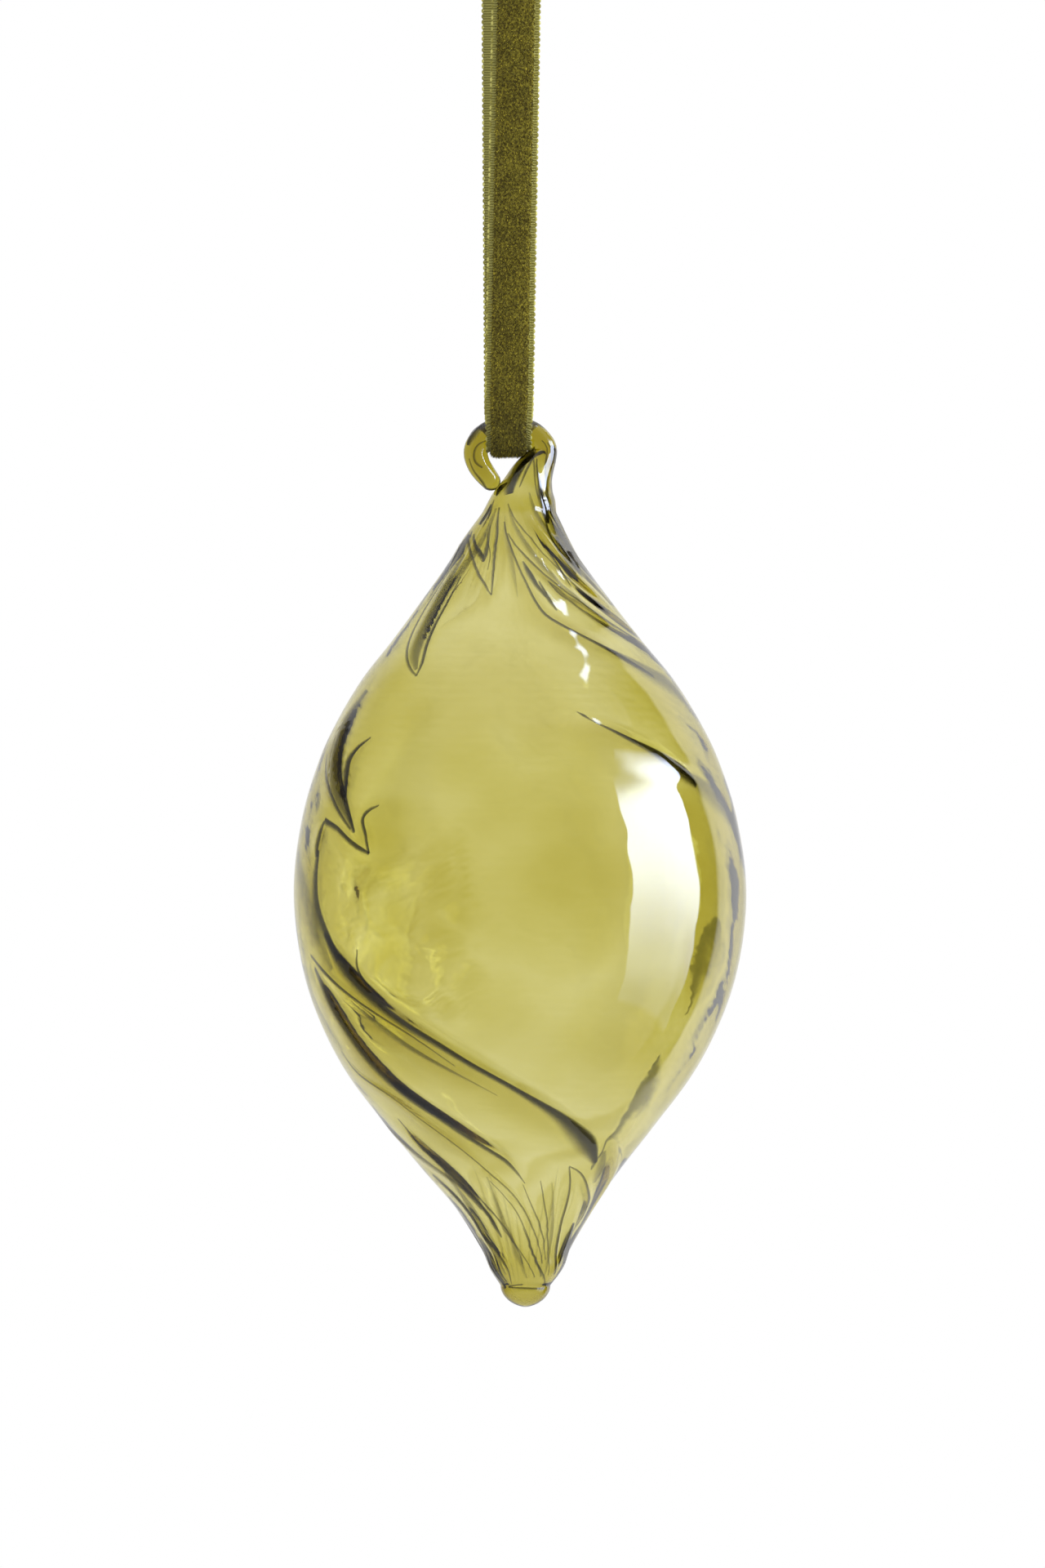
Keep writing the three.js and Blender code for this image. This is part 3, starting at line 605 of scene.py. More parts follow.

# Folds in the glass: how far they stand out, how far they reach on their steep and gentle sides, how dark
# their crease is, and their stations as they are seen from the front: x, height above the tip, half the
# crease's width. The stations were read off the picture in pixels. A scratch program turned most of them
# into mm and laid out those lines, so this isn't a table typed by hand.
# Where a fold's crease has darkness, a strip of painted shade is laid under the glass's skin along it.
FRONT_FOLDS = [
    # Long lower sweep, from the left limb down to the right, and the lines beside it.
    (0.8, 1.2, 4.5, 0.95, [(-24.9, 51.2, 0.3), (-22.8, 47.6, 0.8), (-20.1, 44.2, 0.85), (-17.2, 41.6, 0.75),
        (-13.9, 39.2, 0.68), (-9.4, 36.5, 0.6), (-5, 33.8, 0.55), (-0.6, 31.3, 0.55), (2.8, 29.2, 0.7),
        (6.1, 26.9, 1), (8.3, 24.8, 1.5), (10.1, 22.7, 1.6), (11.4, 20.1, 0.4)]),
    (0, 1, 1, 0.85, [(-25.8, 62.3, 0.3), (-26.3, 58.1, 0.5), (-26.1, 54.7, 0.65), (-24.9, 51.2, 0.7),
        (-22.8, 47.6, 0.5)]),
    (0, 1, 1, 0.3, [(-28.9, 61.7, 0.6), (-28.4, 57.8, 1.1), (-27.4, 53.9, 1.3), (-25.9, 50.1, 1.1),
        (-23.7, 46.2, 0.5)]),
    (0.2, 0.6, 0.8, 0.9, [(-26.9, 48.1, 0.12), (-25, 46.1, 0.2), (-21.7, 43.3, 0.22), (-17.2, 40.3, 0.2),
        (-12.8, 37.6, 0.18), (-7.2, 33.7, 0.1)]),
    (0, 0.6, 0.8, 0.95, [(-20.4, 49.2, 0.14), (-20.4, 46.7, 0.22), (-18.9, 44.3, 0.22),
        (-15.9, 41.5, 0.18)]),
    (0.3, 1, 3, 0.5, [(-21, 42.1, 0.1), (-17.2, 38.9, 0.5), (-12.8, 35.8, 0.5), (-7.2, 32.7, 0.3),
        (-1.7, 29.7, 0.1)]),
    # Second lower sweep.
    (0.8, 1.1, 4, 0.8, [(-26.3, 46.4, 0.25), (-24.4, 42.7, 0.55), (-22.2, 38.9, 0.65), (-19.4, 34.9, 0.65),
        (-16.1, 31.4, 0.6), (-12.8, 28.7, 0.5), (-9.4, 26.5, 0.42), (-6.1, 24.2, 0.5), (-2.8, 22.1, 0.5),
        (-0.6, 20.6, 0.45), (2, 17.5, 0.1)]),
    (0, 1, 1, 0.25, [(-28.1, 46.7, 0.4), (-26.7, 42.1, 0.9), (-24.8, 38.4, 0.9), (-22.6, 35.2, 0.4)]),
    (0, 1, 1, 0.85, [(-10.6, 28.3, 0.06), (-7.2, 25.6, 0.14), (-3.9, 22.8, 0.06)]),
    (0.4, 0.7, 1.4, 0.85, [(-22.8, 35.1, 0.12), (-20.6, 32.3, 0.14), (-16.1, 29.5, 0.14),
        (-11.7, 26.2, 0.14), (-7.2, 22.8, 0.16), (-2.8, 18.9, 0.18), (0.6, 15.6, 0.18), (3, 11.2, 0.18),
        (4.4, 6.2, 0.12)]),
    # Strands that run down into the tip, from the left.
    (0.7, 0.8, 2.4, 0.95, [(-15.2, 26.1, 0.12), (-11.7, 22.1, 0.25), (-8.3, 18.9, 0.35), (-5, 15.4, 0.42),
        (-2.8, 12.6, 0.4), (-1.3, 9.8, 0.2)]),
    (0.3, 0.8, 1.2, 0.5, [(-18.9, 27.8, 0.2), (-16.7, 24.7, 0.5), (-13.6, 21.7, 0.6), (-10.2, 19.3, 0.5),
        (-7.2, 17.3, 0.4), (-3.9, 13.6, 0.2)]),
    (0.2, 0.5, 0.8, 0.9, [(-13.3, 23.8, 0.1), (-10, 20.9, 0.18), (-6.1, 17.3, 0.2), (-2.8, 13.8, 0.2),
        (0, 10.1, 0.2), (1.7, 6.2, 0.12)]),
    (0.5, 0.7, 1.6, 0.95, [(-10.6, 18.3, 0.2), (-7.2, 15.1, 0.35), (-5, 12.3, 0.38), (-3.7, 10.1, 0.3),
        (-1.7, 7.6, 0.25), (-0.3, 5.1, 0.18), (0.1, 3.4, 0.1)]),
    (0.3, 0.7, 1, 1, [(-4.3, 9.4, 0.2), (-3.1, 6.7, 0.45), (-2.1, 4.7, 0.5), (-0.8, 2.6, 0.2)]),
    (0.2, 0.5, 0.7, 0.85, [(1.7, 17.3, 0.08), (2.8, 14.5, 0.14), (4.1, 11.2, 0.18), (4.8, 6.7, 0.1)]),
    (0.2, 0.5, 0.7, 0.85, [(4.1, 17.8, 0.1), (4.7, 13.9, 0.17), (5.1, 8.9, 0.14), (5.2, 4.5, 0.08)]),
    (0.2, 0.5, 0.7, 0.85, [(-2.8, 17.8, 0.1), (0.8, 13.4, 0.14), (3, 7.8, 0.17), (4.2, 4.3, 0.14)]),
    (0.2, 0.5, 0.6, 0.85, [(-1.1, 11.2, 0.1), (1.4, 7.8, 0.14), (3.3, 4.3, 0.12)]),
    (0.2, 0.5, 0.6, 0.9, [(1.7, 11.2, 0.08), (2.8, 8.4, 0.2), (3.9, 5.6, 0.25), (4.7, 3.4, 0.12)]),
    # Seam round the bead, and the loop and the marks at the right of the tip.
    (0, 0.5, 0.5, 0.95, [(-0.3, 2.9, 0.15), (1.7, 3.3, 0.2), (2.8, 2.7, 0.22), (4.7, 2.6, 0.1)]),
    (0.5, 0.8, 0.8, 0.95, [(8, 19.7, 0.16), (8, 16.7, 0.2), (7.4, 13.9, 0.22), (6.8, 11.7, 0.22),
        (6.2, 7.8, 0.24), (6, 4.5, 0.14)]),
    (0.3, 0.8, 0.8, 0.9, [(8, 19.8, 0.14), (9.4, 18.9, 0.18), (10.4, 16.7, 0.18), (10.6, 14.5, 0.18),
        (9.7, 12.3, 0.15), (8.3, 10.1, 0.08)]),
    (0.3, 0.6, 0.9, 1, [(8.7, 11.7, 0.2), (8, 9.8, 0.45), (7.3, 7.8, 0.45), (6.6, 5.6, 0.1)]),
    (0.3, 0.6, 0.9, 1, [(8.1, 8.7, 0.3), (7.7, 6.2, 0.5), (6.9, 4.3, 0.2)]),
    (0, 0.5, 0.5, 0.35, [(12.4, 21.7, 0.5), (12.1, 19.5, 0.7), (11.4, 17.3, 0.3)]),
    # Darts at the upper left, below the neck.
    (0.3, 0.5, 0.8, 0.9, [(-5.7, 105.1, 0.4), (-7, 103.2, 0.6), (-8.4, 100.6, 0.15)]),
    (0.3, 0.5, 0.8, 0.9, [(-5.6, 105.6, 0.14), (-5.6, 103.2, 0.2), (-4.8, 100.6, 0.24), (-3.7, 98.4, 0.26),
        (-2.6, 96.6, 0.14)]),
    (0.3, 0.5, 0.8, 0.95, [(-1.6, 108.7, 0.16), (-1.9, 105.1, 0.28), (-2.2, 101.2, 0.26),
        (-2.4, 98.7, 0.24), (-2.6, 96.6, 0.16)]),
    (0.2, 0.5, 0.6, 0.9, [(-5.1, 105.1, 0.14), (-4.8, 103.4, 0.3), (-4.1, 102.1, 0.45),
        (-3.7, 101.2, 0.2)]),
    (0, 0.5, 0.5, 0.8, [(-2.7, 106.2, 0.14), (-3.1, 103.9, 0.3), (-3.4, 102.3, 0.4), (-3.6, 101.2, 0.14)]),
    (0, 0.5, 0.5, 0.8, [(-3.1, 105.1, 0.1), (-2.8, 102.3, 0.14), (-3.1, 100.1, 0.12)]),
    (0.3, 0.5, 0.6, 0.95, [(-2.7, 109.2, 0.14), (-3.4, 107.7, 0.4), (-4.3, 106.4, 0.3)]),
    (0, 0.5, 0.5, 0.85, [(-2.3, 109.8, 0.1), (-2.8, 108.4, 0.2), (-3.1, 107.1, 0.15)]),
    # Leaf at the upper left: its fill and its two edges.
    (0.5, 1, 1.2, 0.5, [(-6.4, 102.3, 0.3), (-8.1, 99.4, 0.6), (-9.8, 96.2, 0.8), (-11.3, 93.2, 1),
        (-12.4, 90.6, 1), (-13, 88.4, 0.9), (-12.7, 86.5, 0.3)]),
    (0, 0.5, 0.7, 0.75, [(-7.7, 101.2, 0.12), (-10, 97.6, 0.16), (-12.2, 93.9, 0.18), (-13.7, 90.6, 0.22),
        (-14, 88.4, 0.22), (-13.4, 86.5, 0.22), (-12.6, 85.7, 0.18)]),
    (0, 0.5, 0.7, 0.9, [(-6.8, 99.2, 0.14), (-8.6, 95.6, 0.24), (-10.1, 92.8, 0.28), (-11.2, 90.1, 0.3),
        (-11.9, 87.3, 0.28), (-12.6, 85.7, 0.18)]),
    # Fold down the upper left limb, and the angular line that ends it.
    (0.6, 1.1, 2, 0.55, [(-19.4, 83.9, 0.4), (-21.7, 80.5, 0.8), (-23.1, 77.3, 1.2), (-23.7, 74.5, 1.4),
        (-23.6, 71.2, 1.4), (-22.7, 68.4, 0.9), (-21.6, 66.4, 0.6), (-20.8, 64.7, 0.25)]),
    (0, 0.5, 0.5, 0.8, [(-24.8, 75.1, 0.12), (-24.7, 72.3, 0.2), (-24, 70.1, 0.22), (-22.8, 67.3, 0.25),
        (-21.3, 65.1, 0.18)]),
    (0, 0.5, 0.5, 0.9, [(-21.9, 78.9, 0.12), (-22.7, 76.2, 0.2), (-22.8, 72.8, 0.24), (-22.3, 70.1, 0.3),
        (-21.6, 67.3, 0.35), (-20.8, 64.7, 0.2)]),
    (0.3, 0.8, 1, 0.95, [(-18.7, 77.5, 0.14), (-20.3, 76.3, 0.3), (-21.6, 74.5, 0.45), (-22, 72.3, 0.45),
        (-22, 69.3, 0.12)]),
    (0.2, 0.7, 0.9, 0.9, [(-25, 66.2, 0.3), (-23.3, 65.3, 0.3), (-21.7, 63.8, 0.3), (-20, 62.5, 0.35),
        (-18.8, 61.9, 0.25)]),
    (0.2, 0.7, 0.9, 0.9, [(-17.4, 68.4, 0.14), (-18.9, 67.7, 0.3), (-19.6, 66.4, 0.32), (-19.2, 64.5, 0.28),
        (-18.8, 61.9, 0.25)]),
    (0.3, 0.7, 1.2, 0.8, [(-25, 66.2, 0.2), (-25.8, 63.4, 0.35), (-26.1, 61.4, 0.3)]),
    # Sweep at the upper right, and the strands above it.
    (0.6, 0.9, 2.6, 0.95, [(-0.9, 106.7, 0.14), (-0.3, 104.3, 0.2), (0.6, 101.7, 0.22), (1.9, 98.7, 0.24),
        (3.3, 95.8, 0.28), (4.8, 93.8, 0.32), (7.2, 92.3, 0.32), (10.6, 90.5, 0.3), (13.3, 89.1, 0.4),
        (16.3, 87.4, 0.4), (19.4, 85.6, 0.2)]),
    (0, 1, 1, 0.5, [(12.8, 89.4, 0.3), (16.1, 87.6, 0.8), (19.4, 85.6, 1.1), (21.9, 84.1, 1),
        (24.4, 81.4, 0.5), (27, 78.1, 0.3), (29.8, 72.3, 0.2)]),
    (0.4, 0.6, 1.2, 0.9, [(-0.3, 105.1, 0.16), (1.7, 102.3, 0.24), (3.9, 100.1, 0.22), (7.2, 97.3, 0.18),
        (10.6, 94.9, 0.17), (15, 91.9, 0.17), (19.4, 88.9, 0.08)]),
    (0.2, 0.5, 0.8, 0.85, [(-0.4, 109.2, 0.14), (2.2, 105.1, 0.18), (4.4, 102.5, 0.14), (8.3, 98.7, 0.1)]),
    (0.2, 0.6, 0.8, 0.85, [(1.7, 101.2, 0.2), (2.6, 99.4, 0.6), (3.6, 97.8, 0.45), (4.8, 96.3, 0.2)]),
    (0.2, 0.6, 0.8, 0.85, [(3.9, 98.5, 0.2), (5, 96.3, 0.42), (6.3, 94.5, 0.2)]),
    (0, 0.5, 0.5, 0.9, [(5.2, 102.7, 0.14), (6.8, 100.1, 0.24), (8.3, 97.8, 0.14)]),
    (0.3, 0.5, 0.8, 0.85, [(6.7, 100.1, 0.14), (9.7, 97.2, 0.18), (13.3, 94.5, 0.15), (18.3, 90.6, 0.06)]),
    (0, 0.5, 0.5, 0.85, [(6.4, 102.1, 0.1), (8.3, 99.8, 0.16), (10, 98.1, 0.1)]),
    # The bright strand between the neck and the loop.
    (0.9, 1.1, 1.6, 0, [(0.6, 110.8, 1), (2.2, 107.9, 1), (4.3, 104.9, 1), (6.7, 101.9, 1), (9.4, 98.9, 1),
        (12.2, 96.2, 1), (15.5, 92.8, 1)]),
    # Loop at the right of the neck: its dark ends, its fill and its edges.
    (0.5, 0.8, 1.4, 1, [(3.6, 115.4, 0.15), (3.9, 112.3, 0.35), (4.2, 109.8, 0.7), (4.7, 108.2, 0.75),
        (5.1, 106.5, 0.3)]),
    (0, 0.8, 1.4, 0.4, [(4.8, 108.1, 0.3), (5.6, 106.4, 0.7), (6.4, 104.6, 0.7), (7.3, 103.1, 0.4)]),
    (0.5, 0.8, 1.4, 1, [(6.3, 104.7, 0.3), (7.2, 102.9, 0.85), (8.3, 101.2, 0.85), (9.2, 99.8, 0.5),
        (9.9, 99.1, 0.1)]),
    (0, 0.5, 0.8, 0.95, [(4, 111.2, 0.12), (4.6, 107.8, 0.22), (5.3, 105.1, 0.24), (6.9, 102.2, 0.24),
        (8.7, 99.6, 0.2)]),
    (0.2, 0.5, 0.8, 1, [(4.8, 110.8, 0.14), (5.8, 107.6, 0.28), (7.2, 105.1, 0.28), (8.9, 102.5, 0.28),
        (10.8, 99.9, 0.28), (12.6, 97.6, 0.4), (14.1, 95.4, 0.25)]),
    # Broad soft shades between the strands, at the neck and at the tip.
    (0.3, 0.9, 1.5, 0.4, [(2.6, 110.8, 0.2), (3.9, 107.2, 0.5), (6.9, 103.2, 0.6), (10.7, 99, 0.5),
        (13.9, 95.4, 0.2)]),
    (0.3, 0.9, 1.5, 0.35, [(-0.2, 108.4, 0.2), (1.4, 104.6, 0.5), (4.9, 99.9, 0.6), (10, 95.2, 0.4),
        (14, 92.3, 0.2)]),
    (0.2, 0.8, 1.2, 0.25, [(-0.8, 107.5, 0.1), (-0.3, 103.4, 0.5), (0.4, 99.4, 0.4), (1, 96.3, 0.1)]),
    (0.3, 0.8, 1.4, 0.35, [(-2, 108.6, 0.2), (-3.6, 104.8, 0.5), (-6.6, 100.3, 0.6), (-9.3, 96.1, 0.2)]),
    (0, 0.8, 1.4, 0.4, [(5.2, 113.4, 0.2), (6.2, 109.4, 0.4), (7.6, 106, 0.5), (10.2, 101.6, 0.2)]),
    (0.3, 0.8, 1.4, 0.35, [(-9.3, 20.3, 0.2), (-5.6, 14.2, 0.6), (-2.7, 8.6, 0.5), (-0.7, 4.6, 0.2)]),
    (0.3, 0.8, 1.4, 0.3, [(-3.2, 18.4, 0.2), (-1.1, 12.3, 0.5), (0.9, 7.3, 0.5), (2.2, 4.1, 0.2)]),
    (0.3, 0.8, 1.4, 0.3, [(5.6, 17.6, 0.1), (5.6, 11.5, 0.4), (5, 6.3, 0.3), (4.4, 4, 0.1)]),
    # Fold across the right, above the bright patch.
    (0.5, 1, 3.4, 0.95, [(8.9, 80.8, 0.1), (9.8, 80.3, 0.32), (10.9, 79.6, 0.16), (13.3, 78.4, 0.3),
        (15.6, 77.2, 0.4), (18.3, 75.8, 0.55), (20.8, 74.2, 0.85), (23.7, 72.1, 0.8), (25, 70.9, 0.3)]),
    (0, 1, 1, 0.4, [(22.2, 72.9, 0.4), (25, 71.2, 0.9), (27.2, 69.3, 1.1), (29.2, 67.3, 0.8),
        (30.6, 65.4, 0.3)]),
    # Strands of the neck and the hook.
    (0, 1, 1, 0.95, [(-0.3, 110.5, 0.7), (-0.1, 112.3, 1), (0.8, 114.1, 0.95), (2.2, 115.8, 0.6),
        (3.1, 116.9, 0.2)]),
    (0, 1, 1, 0.9, [(1.2, 111.5, 0.12), (2, 113.6, 0.25), (2.8, 115.3, 0.25), (3.4, 116.7, 0.12)]),
    (0, 1, 1, 0.8, [(3, 116.5, 0.12), (3.2, 114.5, 0.2), (3.4, 112.3, 0.2), (3.9, 109.8, 0.14)]),
    (0, 1, 1, 0.8, [(4.3, 117.8, 0.12), (4.9, 115.4, 0.18), (4.8, 112.5, 0.18), (5.2, 109.6, 0.14)]),
    (0, 1, 1, 0.8, [(5.1, 117.6, 0.12), (5.7, 115.4, 0.18), (5.6, 112.5, 0.16), (5.9, 109.8, 0.1)]),
    (0, 1, 1, 0.95, [(5.7, 117.2, 0.25), (6.1, 116.1, 0.45), (6, 114.7, 0.2)]),
    (0, 1, 1, 0.85, [(-3.4, 120.1, 0.3), (-4.6, 119.3, 0.65), (-5.3, 118.3, 0.6), (-5.8, 117.2, 0.25)]),
    (0, 1, 1, 0.85, [(-3.2, 117.7, 0.12), (-4.2, 117.3, 0.18), (-4.9, 116.1, 0.22), (-4.7, 114.9, 0.24),
        (-3.7, 114.2, 0.2)]),
    (0, 1, 1, 0.8, [(-5.7, 115.4, 0.1), (-5, 113.6, 0.16), (-3.9, 112.2, 0.2), (-2.6, 110.9, 0.12)]),
]
# Places at the left where the wall is a little thicker.
BROAD_SWELLS = [
    (0.22, 7, 7, 0, [(-17.2, 57.8, 1), (-18.9, 53.4, 1), (-16.1, 47.8, 1), (-11.7, 42.3, 1)]),
    (0.15, 6, 6, 0, [(-13, 70, 1), (-17, 66, 1), (-21, 61, 1)]),
]
# Marks on the back that are seen through the glass, the first two with strips of painted shade along their crease.
BACK_MARKS = [
    (0, 1.2, 2.4, 0.6, [(21, 33.1, 0.3), (20.4, 30.6, 1.2), (19.1, 27.8, 1.3), (17, 24.5, 0.9),
        (14.7, 21.4, 0.6), (12.6, 18.1, 0.2)]),
    (0, 1.2, 2.4, 0.5, [(30, 51.5, 0.3), (29.2, 50.4, 1.3), (28, 47, 1.3), (26.4, 43.5, 0.8),
        (24.6, 39.5, 0.2)]),
    # A thick place beside the bright patch.
    (0.4, 6.5, 5, 0, [(24, 74, 1), (26.3, 65, 1), (27.2, 55.6, 1), (26.3, 46, 1), (24.3, 38, 1)]),
]
FOLD_STATIONS = 24
LEAST_FACING = 0.4
# A fold fades out over this many mm at its ends, at most this share of its length, and gets narrower where
# the glass's radius is less than its room.
FOLD_FADE, LONGEST_FADE = 6.0, 0.3
FOLD_ROOM, NARROWEST = 16.0, 4
CLOUD_DEPTH, CLOUD_SCALE = 1.0, 75.0
# How much of a fold shows outside, how much inside, where it goes the other way, and how far a fold on the
# back reaches.
OUTER_SHARE, INNER_SHARE = 0.6, -0.5
BACK_STEEP, BACK_GENTLE = 0.8, 2.2
# Strips of painted shade along each crease: how deep under the skin, in six layers so that most strips that
# cross stay apart, how far off the line the skin is looked for, the least half width, and the thickness as a
# share of the width.
CREASE_DEPTH, FIRST_LAYER, LAYER_STEP, LAYERS = 0.28, 0.6, 0.12, 6
SKIN_SEARCH, LEAST_CREASE, CREASE_FLATNESS = 4.0, 0.04, 0.05
# Dents: where they fade in, as the cosine of the angle from their middle and as mm of height from it, and how
# fine they are, where their middle is and how deep they go.
DENTS_AROUND, DENTS_NEAR = (0.86, 0.97), (16.0, 9.0)
DENTS = {"Dent Scale": 190.0, "Dent Angle": math.radians(128), "Dent Height": 50.0, "Dent Depth": 2.4}


def twisted(angle, at, low, high, rise):
    """A fold without a crease that follows the twist of the glass, for the side that isn't in the picture."""
    heights = np.linspace(low, high, 8)
    stations = [(height, angle + float(twist(height) - twist(at)), 0) for height in heights]
    return (rise, BACK_STEEP, BACK_GENTLE, 0, stations)


def twist(height):
    """Degrees that the glass is turned at a height above the tip."""
    swirl = sum(degrees * np.tanh((height - middle) / SWIRL_LENGTH) for degrees, middle in SWIRLS)
    return -(TWIST_RATE * height + swirl)


def plain_radius(height):
    """The outline's radius at a height, smooth over the widest place."""
    outline = [(WIDEST - share * (WIDEST - TIP_HEIGHT), TIP_RADIUS + (BODY_RADIUS - TIP_RADIUS) * out)
               for share, out in LOWER_OUTLINE[::-1]]
    outline += [(WIDEST + share * (NECK_HEIGHT - WIDEST), NECK_RADIUS + (BODY_RADIUS - NECK_RADIUS) * out)
                for share, out in UPPER_OUTLINE[1:]]
    return through(outline, height)


ARCH_HEIGHT = 8.6
HOOK_LEAN = 1.35
REST_DEPTH, REST_REACH = 4.2, 2.65
ROD_END_RADIUS = 1.35


def hook_line():
    """The hook's line from the neck's foot: x, height above the tip, radius."""
    start = float(through(DRIFT, 1))
    right = ARCH_HALF_WIDTH - HOOK_LEAN - start
    left = -HOOK_LEAN - ARCH_HALF_WIDTH
    middle = NECK_HEIGHT + ARCH_HEIGHT

    def neck(across, up, radius):
        return (start + across * right, NECK_HEIGHT + up * ARCH_HEIGHT, radius)

    def arch(degrees):
        a = math.radians(degrees)
        return (-HOOK_LEAN + ARCH_HALF_WIDTH * math.cos(a), middle + ARCH_RISE * math.sin(a), ROD_RADIUS)

    def leg(inward, down, radius):
        return (left + inward * (ARCH_HALF_WIDTH - REST_REACH), middle - down * REST_DEPTH, radius)

    return [
        neck(0, 0, NECK_RADIUS), neck(0.16, 0.24, 0.86 * NECK_RADIUS), neck(0.34, 0.44, 0.68 * NECK_RADIUS),
        neck(0.5, 0.6, 0.58 * NECK_RADIUS), neck(0.71, 0.76, 0.48 * NECK_RADIUS),
        neck(0.92, 0.91, 1.2 * ROD_RADIUS), neck(1, 1.02, ROD_RADIUS),
        neck(0.87, 1.12, ROD_RADIUS), arch(50), arch(70), arch(90), arch(110), arch(130),
        leg(0.19, -0.21, ROD_RADIUS), leg(0, 0.1, ROD_RADIUS), leg(0.19, 0.45, 0.97 * ROD_RADIUS),
        leg(0.57, 0.74, 0.92 * ROD_RADIUS), leg(1, 1, ROD_END_RADIUS),
    ]


def centripetal(points, count):
    """Points evenly along a centripetal curve through the given ones, all coordinates alike."""
    points = np.array(points, float)
    knots = np.concatenate([[0], np.cumsum(np.sqrt(np.linalg.norm(np.diff(points[:, :2], axis=0), axis=1)))])
    fine = np.linspace(0, knots[-1], 1200)
    columns = [through(list(zip(knots, points[:, k])), fine) for k in range(points.shape[1])]
    dense = np.stack(columns, 1)
    run = np.concatenate([[0], np.cumsum(np.linalg.norm(np.diff(dense[:, :2], axis=0), axis=1))])
    even = np.linspace(0, run[-1], count)
    return np.stack([np.interp(even, run, dense[:, k]) for k in range(points.shape[1])], 1), even


OUTER_COLUMNS, OUTER_ROWS, HOOK_ROWS, BEAD_ROWS = 248, 212, 96, 14
INNER_COLUMNS, INNER_ROWS = 150, 120
HOLLOW_FROM, HOLLOW_TO = 0.8, 117.0
NECK_WALL = 1.1
# Heights between which the wall thickens, and how the hollow's ends and the bead are rounded.
NECK_THICKENS, TIP_THICKENS = (92, 108), (12, 3)
FOOT_ROUND, TOP_ROUND, LEAST_RADIUS = 1.6, 3.0, 0.04
BEAD_START, BEAD_ROUNDNESS = 0.02, 0.6
ROD_END_ANGLES = [20, 40, 58, 74, 86]
# How far up the neck its rows turn from level to square with its line, and where the twist ends.
NECK_UPRIGHT, TWIST_END = 7, NECK_HEIGHT + 12
# Laying folds on the glass: places tried, and how much a place beside the glass counts against it.
PLACES_TRIED, BESIDE_COUNTS = 2800, 0.6


def outer_rows():
    """Rows up the glass: centre x, z, radius, length up from the tip, and the row's way across (x, z)."""
    rows = []
    tip_drift = float(through(DRIFT, TIP_HEIGHT / NECK_HEIGHT))
    for level in np.linspace(BEAD_START, 1, BEAD_ROWS)[:-1]:
        share = (1 - (1 - level) ** 2) ** BEAD_ROUNDNESS
        height = level * TIP_HEIGHT
        rows.append((tip_drift, height, TIP_RADIUS * share, height, 1, 0))
    for height in np.linspace(TIP_HEIGHT, NECK_HEIGHT, OUTER_ROWS)[:-1]:
        drift = float(through(DRIFT, height / NECK_HEIGHT))
        rows.append((drift, height, float(plain_radius(height)), height, 1, 0))
    line, run = centripetal(hook_line(), HOOK_ROWS)
    tangent = np.gradient(line[:, :2], axis=0)
    tangent /= np.linalg.norm(tangent, axis=1)[:, None]
    upright = smooth_step(NECK_UPRIGHT, 0, run)[:, None]
    tangent = tangent * (1 - upright) + np.array([0, 1]) * upright
    tangent /= np.linalg.norm(tangent, axis=1)[:, None]
    for (x, z, radius), length, (tx, tz) in zip(line, run, tangent):
        rows.append((x, z, radius, NECK_HEIGHT + length, tz, -tx))
    end, (tx, tz) = line[-1], tangent[-1]
    for angle in np.radians(ROD_END_ANGLES):
        out, radius = math.sin(angle) * ROD_END_RADIUS, ROD_END_RADIUS * math.cos(angle)
        rows.append((end[0] + tx * out, end[1] + tz * out, radius, NECK_HEIGHT + run[-1] + out, tz, -tx))
    return np.array(rows)


GLASS_ROWS = outer_rows()


def rows_at(height):
    """The glass's rows read at lengths up from the tip."""
    return np.stack([np.interp(height, GLASS_ROWS[:, 3], column) for column in GLASS_ROWS.T], 1)


def laid(fold, side=-1):
    """A fold with its stations on the glass: length up from the tip, angle in degrees, half width.
    side is -1 on the front and 1 on the back."""
    x, z, radius, length, ax, az = rows_at(np.linspace(0.3, GLASS_ROWS[-1, 3] - 0.2, PLACES_TRIED)).T
    stations = []
    for place, height, width in fold[4]:
        dx, dz = place - AXIS_X - x, height - z
        along = dx * ax + dz * az
        miss = abs(dx * az - dz * ax) + BESIDE_COUNTS * np.maximum(abs(along) - radius, 0)
        k = int(np.argmin(miss))
        cosine = min(max(along[k] / radius[k], -1), 1)
        facing = max(math.sqrt(1 - cosine**2), LEAST_FACING)
        stations.append((length[k], side * math.degrees(math.acos(cosine)), width / facing))
    return fold[:4] + (stations,)


def inner_rows():
    """Rows of the hollow, which runs on into the neck and the bead and is rounded off at both ends."""
    level = (1 - np.cos(np.linspace(0, math.pi, INNER_ROWS))) / 2
    level = 0.5 * level + 0.5 * np.linspace(0, 1, INNER_ROWS)
    height = HOLLOW_FROM + (HOLLOW_TO - HOLLOW_FROM) * level
    rows = rows_at(height)
    near_end = smooth_step(*NECK_THICKENS, height) + smooth_step(*TIP_THICKENS, height)
    thick = WALL + (NECK_WALL - WALL) * near_end
    from_end = np.minimum((height - HOLLOW_FROM) / FOOT_ROUND, (HOLLOW_TO - height) / TOP_ROUND)
    from_end = np.clip(from_end, 0, 1)
    round_off = np.sqrt(1 - (1 - from_end) ** 2)
    rows[:, 2] = np.maximum((rows[:, 2] - thick) * round_off, LEAST_RADIUS)
    return rows


